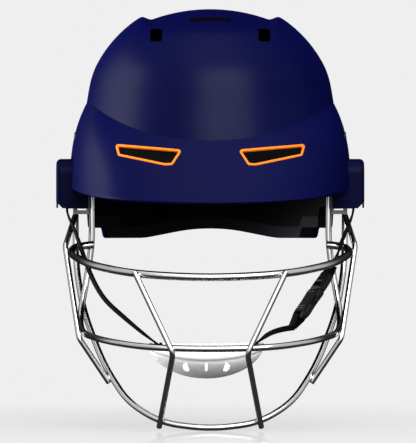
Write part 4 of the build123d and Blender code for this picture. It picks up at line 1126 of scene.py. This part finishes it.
def thread(name, places, way, lift, size=(1.5, 0.42)):
    """A row of stitches: at each place a small capsule along way, half sunk, made by carrying
    one capsule of 5 by 6 points to every place at once."""
    turn = np.linspace(0, math.pi, 5)
    round_ = np.linspace(0, 2 * math.pi, 6, endpoint=False)
    side = np.cross(way, lift)
    along = -np.cos(turn)[:, None, None] * size[0] / 2 * way
    circle = np.cos(round_)[:, None] * side + np.sin(round_)[:, None] * lift
    capsule = (along + np.sin(turn)[:, None, None] * size[1] / 2 * circle).reshape(-1, 3)
    points = (np.asarray(places)[:, None] + capsule).reshape(-1, 3)
    r, c = np.meshgrid(np.arange(0, 24, 6), np.arange(6), indexing="ij")
    c2 = (c + 1) % 6
    quad = np.stack([r + c, r + c2, r + 6 + c2, r + 6 + c], -1)
    faces = (np.arange(len(places))[:, None, None] * 30 + quad.reshape(1, -1, 4)).reshape(-1, 4)
    mesh = bpy.data.meshes.new(name)
    mesh.from_pydata((points * mm).tolist(), [], faces.tolist())
    layer = mesh.uv_layers.new(name="UVMap")
    layer.data.foreach_set("uv", np.zeros(2 * len(layer.data)))
    return closed(placed(name, mesh))


def loop_stitches(name, z_from):
    """Two rows of stitches down both faces of a sewn loop, joined by a row across each end."""
    made, z_to = [], z_from + stitch_span
    for face in (-1, 1):
        lift, y = buckle_through * face, face * stitch_height
        down, level = np.linspace(z_from, z_to, 4), np.linspace(-stitch_cross, stitch_cross, 3)
        sides = [in_buckle(0 * down + x, 0 * down + y, down) for x in (-stitch_x, stitch_x)]
        made.append(thread(name + "_side", np.concatenate(sides), buckle_along, lift))
        cross = [in_buckle(level, 0 * level + y, 0 * level + z) for z in (z_from, z_to)]
        made.append(thread(name + "_cross", np.concatenate(cross), buckle_across, lift))
    return made


def stud_hole(piece, side):
    """The hole that the strap's stud goes through."""
    angle = np.linspace(0, 2 * math.pi, 32, endpoint=False)
    circle = stud_hole_radius * np.stack([np.cos(angle), np.sin(angle)], -1)
    place = lambda u, v, d: stack(side * d, u + stud_place[1], v + stud_place[2])
    return cut(piece, prism("stud_hole", circle, 100, 114, place))


def cup_entry(side):
    """The place and way in which a strap goes through the cup's lug."""
    x, y, z = lug_place
    return cup_middle + (side * x, y, z), unit(np.array([-side * 0.8, 0, -0.6]))


def build_straps():
    """The plain strap on the -X side, and the two lengths on the buckle's side."""
    for side, shares in ((-1, right_strap_shares), (1, left_strap_shares)):
        stud = stud_place * (side, 1, 1)
        end, along = cup_entry(side)
        stop = end + along * 2.2
        tail = [end - along * 9.0, end - along * 2.4, stop + along]
        goal = tail[0] if side < 0 else in_buckle(0, 0, -loop_length)
        way = goal - stud
        places = [stud + (0, 0, 5.5), stud] + [stud + way * share[:3] for share in shares]
        turns = [0, 0] + [side * share[3] for share in shares]
        if side < 0:
            run = webbing_run("strap_right_run", places + tail, turns + [turns[-1] / 2, 0, 0])
            run = stud_hole(run, side)
            strap = joined("strap_right_webbing", [run, sewn_end("strap_right_end", stop, along)])
            dressed(strap, "chin_strap", "strap_webbing", "strap_right")
            continue
        ends = (1.0, loop_share)
        run = webbing_run("strap_left_run", places + [goal], turns + [buckle_turn], ends)
        run = stud_hole(run, side)
        loop = buckle_loop("upper_loop", buckle_bar / 2, -1)
        upper = [run, loop] + loop_stitches("upper_stitch", upper_stitches)
        strap = joined("strap_left_upper_webbing", upper)
        dressed(strap, None, "strap_webbing", "strap_left_upper")
        ends = [tuple(in_buckle(0, 0, z) * mm) for z in slack_zone]
        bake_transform(strap)
        bar_z = buckle_length - buckle_bar / 2
        start = in_buckle(0, 0, bar_z + loop_length)
        turns = [buckle_turn, buckle_turn / 2, 0, 0]
        run = webbing_run("strap_lower_run", [start] + tail, turns, (loop_share, 1.0))
        end = sewn_end("strap_left_end", stop, along)
        lower = [run, buckle_loop("lower_loop", bar_z, 1), end]
        lower += loop_stitches("lower_stitch", bar_z + lower_stitches)
        strap = joined("strap_left_lower_webbing", lower)
        dressed(strap, "chin_strap", "strap_webbing", "strap_left_lower")


build_straps()


# Buckle

# Each station is a place down the buckle, a half width and a half thickness
plug_stations = (
    (0.0, 6.9, 2.5), (1.5, 7.9, 2.75), (4.0, 8.7, 2.8), (8.0, 9.4, 2.8), (12.0, 9.5, 2.8),
    (15.0, 9.5, 2.8),
)
tongue_stations = ((14.6, 1.7, 1.6), (20.0, 1.7, 1.6), (26.0, 1.7, 1.6), (30.5, 1.6, 1.5))
socket_stations = (
    (15.1, 9.3, 3.3), (17.0, 9.5, 3.5), (20.5, 9.4, 3.5), (25.5, 8.8, 3.5), (30.5, 8.8, 3.5),
    (34.5, 9.5, 3.45), (38.5, 9.3, 3.1), (42.1, 7.6, 2.2),
)
buckle_rounding, slot_reach, relief_face = 0.9, 5.8, 1.2
plug_slots, plug_relief = ((2.4, 6.0), (8.4, 12.0)), (-4.0, 5.9)
socket_slots, socket_relief = ((36.1, 39.7),), (36.2, 46.0)
socket_hollow = ((-8.2, 8.2), (-2.2, 2.2), (10.0, 32.6))
socket_window = ((-12, 12), (-2.2, 2.2), (21.6, 29.6))
past_face = 6.0
plug_ribs, plug_rib_half, plug_rib_face = (7.2, 13.2), 5.0, 2.75
socket_ribs, socket_rib_half, socket_rib_face = (18.2, 31.6, 33.4), 5.4, 3.4


def moulded_bar(name, stations, power=4.0, sides=48):
    """A moulded bar in the buckle's frame: at each station down it, a rounded section
    |x/w|^p + |y/t|^p = 1 with its own half width w and half thickness t, joined smoothly."""
    stations = np.array(stations)
    dense = smooth_curve(stations, 60)
    angle = np.linspace(0, 2 * math.pi, sides, endpoint=False)
    cosine, sine = np.cos(angle), np.sin(angle)
    x = np.sign(cosine) * np.abs(cosine) ** (2 / power)
    y = np.sign(sine) * np.abs(sine) ** (2 / power)
    turn = np.linspace(0, math.pi / 2, 5)[:-1]
    along = buckle_rounding * np.outer(1 - np.cos(turn), (1, 0, 0))
    drawn_in = np.outer(1 - np.sin(turn), (0, buckle_rounding, buckle_rounding))
    first, last = dense[:1], dense[-1:]
    head, foot = first + along - drawn_in, (last - along - drawn_in)[::-1]
    reach = dense[:, 0]
    inner = (reach > first[0, 0] + buckle_rounding) & (reach < last[0, 0] - buckle_rounding)
    rows = np.concatenate([head, dense[inner], foot])
    rows = np.concatenate([rows[:1] * (1, 0, 0), rows, rows[-1:] * (1, 0, 0)])
    points = in_buckle(rows[:, 1:2] * x, rows[:, 2:3] * y, rows[:, :1] + 0 * x)
    return grid_piece(name, points, wrap=True)


def buckle_block(name, x, y, z):
    """A straight block in the buckle's frame between two values of x, y and z."""
    corners = np.array([(x[0], z[0]), (x[1], z[0]), (x[1], z[1]), (x[0], z[1])], float)
    place = lambda u, v, d: in_buckle(u, d, v)
    return prism(name, corners, y[0], y[1], place)


def raised_ribs(name, places, half_width, face_y):
    """Grip ribs across a face: a low rounded ridge at each place down the buckle."""
    made = []
    for z in places:
        for face in (-1, 1):
            line = evenly(in_buckle([-half_width, half_width], [face * face_y] * 2, [z, z]), 8)
            made.append(tube(name, line, 1.0, sides=8, rounding=0.4))
    return made


def strap_slots(piece, slots, relief):
    """The slots that webbing goes through, and a relief on both faces that makes room for it."""
    across = (-slot_reach, slot_reach)
    for places in slots:
        cut(piece, buckle_block("slot", across, (-past_face, past_face), places))
    for face in (-1, 1):
        depth = (face * relief_face, face * past_face)
        cut(piece, buckle_block("relief", across, depth, relief))


def build_buckle():
    """The plug with its slotted head and guide tongue, and the hollow, windowed socket."""
    head = moulded_bar("plug_head", plug_stations)
    strap_slots(head, plug_slots, plug_relief)
    tongue = moulded_bar("plug_tongue", tongue_stations)
    ribs = raised_ribs("plug_rib", plug_ribs, plug_rib_half, plug_rib_face)
    plug = joined("buckle_plug_moulding", [head, tongue] + ribs)
    dressed(plug, "buckle_plug", "buckle_black", "buckle_plug")
    body = moulded_bar("socket_body", socket_stations)
    for block in (socket_hollow, socket_window):
        cut(body, buckle_block("opening", *block))
    strap_slots(body, socket_slots, socket_relief)
    ribs = raised_ribs("socket_rib", socket_ribs, socket_rib_half, socket_rib_face)
    socket = joined("buckle_socket_moulding", [body] + ribs)
    dressed(socket, "chin_strap", "buckle_black", "buckle_socket")


build_buckle()


# Chin cup

cup_size = {"half": 44.0, "front": 26.0, "rear": 20.0, "depth": 29.1, "wall": 2.4}
cup_rim = {"front_z": -110.5, "climb": 9.0, "arc": 240.0}
cup_slot_z, cup_slot_pitch = -117.5, 14.8
rim_bead, rim_groove, rim_nose = (0.55, 1.4, 1.1), (0.45, 4.2, 1.0), 0.9
lug_size, lug_shift, lug_half_thickness = (17.0, 12.5, 2.0), 1.75, 1.2
lug_slot_size, lug_trim = (12.4, 4.4, 1.0), 0.3
middle_slot = ((-1.1, -3.5), (1.1, -3.5), (1.1, 3.5), (-1.1, 3.5))
end_slot = (
    (-3.4, 1.6), (-1.2, 3.6), (0.9, 3.6), (1.3, 1.0), (3.0, -2.2), (2.4, -3.9), (-0.8, -3.9),
    (-3.2, -1.6),
)


def soft_outline(corners, rounds=3):
    """A closed outline whose corners are cut at a quarter and three quarters, rounds times."""
    line = np.asarray(corners, float)
    for _ in range(rounds):
        ahead = np.roll(line, -1, 0)
        pairs = [0.75 * line + 0.25 * ahead, 0.25 * line + 0.75 * ahead]
        line = np.stack(pairs, 1).reshape(-1, 2)
    return line


def cup_rim_height(x, y):
    """The height of the cup's upper edge, which climbs from front to rear, and at its ends on
    an arc: radius - sqrt(radius^2 - x^2)."""
    rise = cup_rim["arc"] - np.sqrt(cup_rim["arc"] ** 2 - (x - cup_middle[0]) ** 2)
    back = (y - cup_middle[1] + cup_size["front"]) / (cup_size["front"] + cup_size["rear"])
    return cup_rim["front_z"] + cup_rim["climb"] * back + rise


def cup_skin(angle, inset, rows):
    """Rows of the cup's ball from its rim to its bottom: x = A cos(e) sin(a),
    y = -B cos(e) cos(a) and z = top - D sin(e), B being longer ahead, with e found by halving
    where the rim is."""
    half, depth = cup_size["half"] - inset, cup_size["depth"] - inset
    length = np.where(np.cos(angle) > 0, cup_size["front"], cup_size["rear"]) - inset

    def place(e):
        x = cup_middle[0] + half * np.cos(e) * np.sin(angle)
        y = cup_middle[1] - length * np.cos(e) * np.cos(angle)
        return np.stack([x, y, cup_top - depth * np.sin(e)], -1)

    first, last = np.zeros_like(angle), np.full_like(angle, math.pi / 2)
    for _ in range(40):
        middle = (first + last) / 2
        at = place(middle)
        above = at[..., 2] > cup_rim_height(at[..., 0], at[..., 1])
        first, last = np.where(above, middle, first), np.where(above, last, middle)
    share = np.linspace(0, 1, rows)[:, None]
    return place(first + (math.pi / 2 - first) * share)


def cup_lug(angle, side):
    """A flat lug with a slot for the strap, trimmed to the cup's ball."""
    middle, along = cup_entry(side)
    across = width_way(along, 0)[0]
    through = np.cross(along, across)

    def at(u, v, d):
        return middle + u[..., None] * across + v[..., None] * through + d[..., None] * along

    outline = rounded_outline(*lug_size) + (0, side * lug_shift)
    lug = prism("lug", outline, -lug_half_thickness, lug_half_thickness, at)
    cut(lug, prism("lug_slot", rounded_outline(*lug_slot_size), -4, 4, at))
    ball = cup_skin(angle, lug_trim, 30)
    lid = (cup_top + 0 * ball[:1]) * (0, 0, 1) + cup_middle * (1, 1, 0)
    keep = grid_piece("keep", np.concatenate([lid, ball]), wrap=True)
    return cut(lug, keep, "INTERSECT")


def build_cup():
    """The chin cup: outer ball with a rolled rim, inner ball, three air slots and two lugs. The
    rim's roll is a bead and a groove below it, each height exp(-((d - middle) / width)^2)."""
    angle = np.linspace(0, 2 * math.pi, 120, endpoint=False)[None, :]
    outer, inner = cup_skin(angle, 0.0, 40), cup_skin(angle, cup_size["wall"], 40)
    down = np.linalg.norm(outer - outer[:1], axis=-1, keepdims=True)
    radii = np.array([cup_size["half"], cup_size["front"], cup_size["depth"]])
    away = unit((outer - (cup_middle + (0, 0, 6.0))) / radii)
    bead, groove = (
        height * np.exp(-(((down - middle) / width) ** 2))
        for height, middle, width in (rim_bead, rim_groove)
    )
    outer = outer + away * (bead - groove)
    turn = np.linspace(0, math.pi, 7)[1:-1, None, None]
    middle, half = (outer[0] + inner[0]) / 2, (outer[0] - inner[0]) / 2
    nose = middle - half * np.cos(turn) + np.array([0, 0, rim_nose]) * np.sin(turn)
    cup = grid_piece("cup_ball", np.concatenate([inner[::-1], nose, outer]), wrap=True)
    slots = (
        (soft_outline(middle_slot), 0.0),
        (soft_outline(end_slot) * (0.8, 0.9), -cup_slot_pitch),
        (soft_outline(end_slot) * (-0.8, 0.9), cup_slot_pitch),
    )
    for outline, shift in slots:
        place = lambda u, v, d: stack(u + cup_middle[0] + shift, d, v + cup_slot_z)
        cut(cup, prism("air_slot", outline, -115, -82, place))
    cup = joined("chin_cup_moulding", [cup] + [cup_lug(angle, side) for side in (-1, 1)])
    dressed(cup, "chin_cup", "cup_white", "chin_cup")


build_cup()


# Comfort pads

voxel, drawn_in, cap, pressure, cloth_steps = 2.0, 1.1, 1.4, 4.0, 20
channel_width, seam_width, channel_depth, seam_share = 1.8, 1.6, 1.2, 0.6
# Each pad's two coordinates across its face, its middle and half sizes there, the share of its
# width at which its channels run, and the way to its seat, which is outwards where none is given
pad_carvings = {
    "crown_pad": ((0, 1), (0.0, 4.0), (37.0, 52.0), 0.17, (0.0, 0.0, 1.0)),
    "front_pad": ((0, 2), (0.0, 34.0), (52.0, 12.0), 0.25, None),
    "rear_pad": ((0, 2), (0.0, 15.5), (62.0, 22.0), 0.25, None),
    "side_pad_left": ((1, 2), (8.0, 36.0), (33.0, 23.0), 0.17, (1.0, 0.0, 0.0)),
    "side_pad_right": ((1, 2), (8.0, 36.0), (33.0, 23.0), 0.17, (-1.0, 0.0, 0.0)),
}


def swollen(piece):
    """A piece blown up as cloth: it swells for cloth_steps frames with no weight on it, and no
    point moves further than the cap."""
    start = read(piece.data.vertices, "co")
    cloth = piece.modifiers.new("cloth", "CLOTH")
    for key, value in (
        ("use_pressure", True), ("uniform_pressure_force", pressure),
        ("tension_stiffness", 30), ("compression_stiffness", 30), ("quality", 6),
    ):
        setattr(cloth.settings, key, value)
    cloth.settings.effector_weights.gravity = 0
    cloth.point_cache.frame_start, cloth.point_cache.frame_end = 1, cloth_steps
    scene = bpy.context.scene
    for step in range(1, cloth_steps + 1):
        scene.frame_set(step)
    mesh = applied(piece)
    scene.frame_set(1)
    shift = np.nan_to_num(read(mesh.vertices, "co") - start)
    length = np.linalg.norm(shift, axis=1, keepdims=True)
    shift = shift * np.minimum(1, cap * mm / np.maximum(length, 1e-9))
    mesh.vertices.foreach_set("co", (start + shift).ravel())
    mesh.update()


def remeshed(piece):
    """A piece's skin made again from voxels and drawn in along its normals."""
    for kind, settings in (
        ("REMESH", {"mode": "VOXEL", "voxel_size": voxel * mm}),
        ("SMOOTH", {"factor": 0.5, "iterations": 3}),
        ("DISPLACE", {"strength": -drawn_in * mm, "mid_level": 0.0}),
    ):
        step = piece.modifiers.new(kind.lower(), kind)
        for key, value in settings.items():
            setattr(step, key, value)
    applied(piece)


def carved(piece, axes, middle, halves, share, seat):
    """Sewn channels and a seam round the edge, pressed into a pad's free face: each point sinks
    towards the seat by depth exp(-(distance / width)^2), by its distance from a channel and
    from the seam's outline."""
    places = read(piece.data.vertices, "co") / mm
    u, v = (places[:, axis] - place for axis, place in zip(axes, middle))
    lines = np.stack([u - 2 * halves[0] * at for at in (-share, share)])
    channels = np.exp(-((lines / channel_width) ** 2)).max(0)
    seam = seam_share * np.exp(-((rounded_edge(u, v, *halves) / seam_width) ** 2))
    ways = 0 * places + seat if seat else unit(places * (1, 1, 0))
    normals = read(piece.data.vertex_normals, "vector")
    free = np.clip(-(normals * ways).sum(1) * 1.6 - 0.2, 0, 1)
    sink = channel_depth * np.minimum(channels + seam, 1.0) * free
    piece.data.vertices.foreach_set("co", ((places + ways * sink[:, None]) * mm).ravel())
    piece.data.update()


def rounded_edge(u, v, half_u, half_v, radius=10.0, inset=5.0):
    """How far points are from a rounded rectangle's outline drawn in by inset."""
    u, v = np.abs(u) - (half_u - radius), np.abs(v) - (half_v - radius)
    outside = np.hypot(np.maximum(u, 0), np.maximum(v, 0)) + np.minimum(np.maximum(u, v), 0)
    return outside - radius + inset


def comfort_pad(node, *carving):
    """A sewn foam pad: the CAD pad's space remeshed and drawn in, swollen as cloth, with its
    channels carved, then subdivided once."""
    piece = closed(placed(node + "_sewn", frame["nodes"][node].data.copy()))
    remeshed(piece)
    swollen(piece)
    carved(piece, *carving)
    finer = piece.modifiers.new("finer", "SUBSURF")
    finer.levels = finer.render_levels = 1
    piece.data.shade_smooth()
    dressed(piece, "helmet", "pad_cloth", node)


for node, carving in pad_carvings.items():
    comfort_pad(node, *carving)


# Nodes that keep their shape

edge_bevel = 0.25

for node in sorted(frame["nodes"]):
    if not any(node in o.get("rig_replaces", []) for o in bpy.data.objects):
        finished_copy(node, edge_bevel)


# Camera, light and floor

def photo_camera(place, lens, sensor):
    """A long lens, level, that looks straight at the front at the photograph's framing."""
    camera = bpy.data.cameras.new("camera")
    camera.sensor_width, camera.lens, camera.clip_end = sensor, lens, 40.0
    eye = bpy.data.objects.new("camera", camera)
    eye.location = place
    eye.rotation_euler = (math.pi / 2, 0, 0)
    bpy.context.scene.collection.objects.link(eye)
    bpy.context.scene.camera = eye


def soft_lamp(name, place, target, size, power, seen=True):
    """A rectangular studio lamp that faces a target. Gloss doesn't show it unless it is seen."""
    lamp = bpy.data.lights.new(name, "AREA")
    lamp.shape = "RECTANGLE"
    lamp.size, lamp.size_y = size
    lamp.energy = power
    held = bpy.data.objects.new(name, lamp)
    held.visible_glossy = seen
    held.location = place
    way = np.array(target) - np.array(place)
    level = math.hypot(way[0], way[1])
    held.rotation_euler = (math.atan2(level, -way[2]), 0, math.atan2(-way[0], way[1]))
    bpy.context.scene.collection.objects.link(held)


def studio_world(low, high, backdrop):
    """Soft light that grows from below to above. Camera and transmission rays see the pale
    backdrop, and gloss sees it where it stands, straight behind. Gloss sees a bright studio
    ahead and above too, and darkness below and to the sides of the backdrop."""
    world = bpy.data.worlds.new("studio")
    sky = Finish("studio", world)
    x, y, z = sky.parts(sky.node("TexCoord"))
    soft = low + (high - low) * z.over(-0.5, 0.6)
    ahead = (1 - y.over(0.10, 0.60)) * z.over(-0.42, 0.14) * (1 - 0.62 * x.size().over(0.08, 0.7))
    panel = y.over(0.3, 0.6) * (1 - x.size().over(0.22, 0.30)) * (1 - z.size().over(0.22, 0.30))
    shiny = 0.03 + 1.40 * ahead + backdrop * panel
    glossy = sky.node("LightPath", output="Is Glossy Ray")
    direct = sky.node("LightPath", output="Is Camera Ray")
    through = sky.node("LightPath", output="Is Transmission Ray")
    shown = (direct + through).math("MINIMUM", 1.0)
    level = soft + (shiny - soft) * glossy
    level = level + (backdrop - level) * shown
    sky.finish_with(sky.node("Background", {"Color": (1.0, 1.0, 1.0, 1.0), "Strength": level}))
    bpy.context.scene.world = world


def studio_floor(height, grey, cover, mirrored):
    """A pale round floor that fades out into the backdrop. Near the helmet it takes a faint
    shadow, by how much its matt grey covers, and mirrors the hoop faintly. The side lamp lights
    neither it nor the bars."""
    finish = Finish("studio_floor")
    x, y, _ = finish.parts(finish.place())
    far = (x * x + y * y).math("SQRT").over(0.20, 0.55)
    mirror = finish.node("BsdfGlossy", {"Color": (1.0, 1.0, 1.0, 1.0), "Roughness": 0.05})
    clear = finish.node("BsdfTransparent")
    matt = finish.node("BsdfDiffuse", {"Color": (grey, grey, grey, 1.0)})
    pale = finish.node("MixShader", [cover, clear, matt])
    top = finish.node("MixShader", [mirrored, pale, mirror])
    finish.finish_with(finish.node("MixShader", [far, top, clear]))
    ring = np.linspace(0, 2 * math.pi, 97)[None, :, None]
    reach = np.array([0.0, 200.0, 650.0])[:, None, None]
    level = height + 0 * reach * ring
    points = np.concatenate([reach * np.cos(ring), reach * np.sin(ring), level], -1)
    floor = grid_piece("studio_floor", points, wrap=False)
    floor.data.materials.append(finish.material)
    floor.visible_glossy = False
    floor.visible_diffuse = False
    floor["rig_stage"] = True
    unlit = bpy.data.collections.new("unlit_by_side_lamp")
    steel = [o for o in bpy.data.objects if o.name.endswith("_steel")]
    for number, piece in enumerate([floor] + steel):
        unlit.objects.link(piece)
        unlit.collection_objects[number].light_linking.link_state = "EXCLUDE"
    bpy.data.objects["side_lamp"].light_linking.receiver_collection = unlit


photo_camera(place=(-1.67 * mm, -4.0, -9.7 * mm), lens=427.7, sensor=36.0)
soft_lamp("side_lamp", (-1.93, 0.60, 0.30), (0, 0, 0.03), size=(1.9, 2.2), power=120)
soft_lamp("front_lamp", (0.60, -1.95, 1.20), (0, 0, 0), size=(2.2, 1.5), power=60)
soft_lamp("top_lamp", (0.0, -0.2, 2.4), (0, 0, 0), size=(1.8, 1.8), power=30, seen=False)
studio_world(low=0.12, high=0.85, backdrop=0.863)
studio_floor(height=-164.4, grey=0.42, cover=0.30, mirrored=0.14)

view = bpy.context.scene.view_settings
view.view_transform = "Standard"

boxes = {"packed": packed_box, "dressed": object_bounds()}
{k: [list(map(float, corner)) for corner in v] for k, v in boxes.items()}
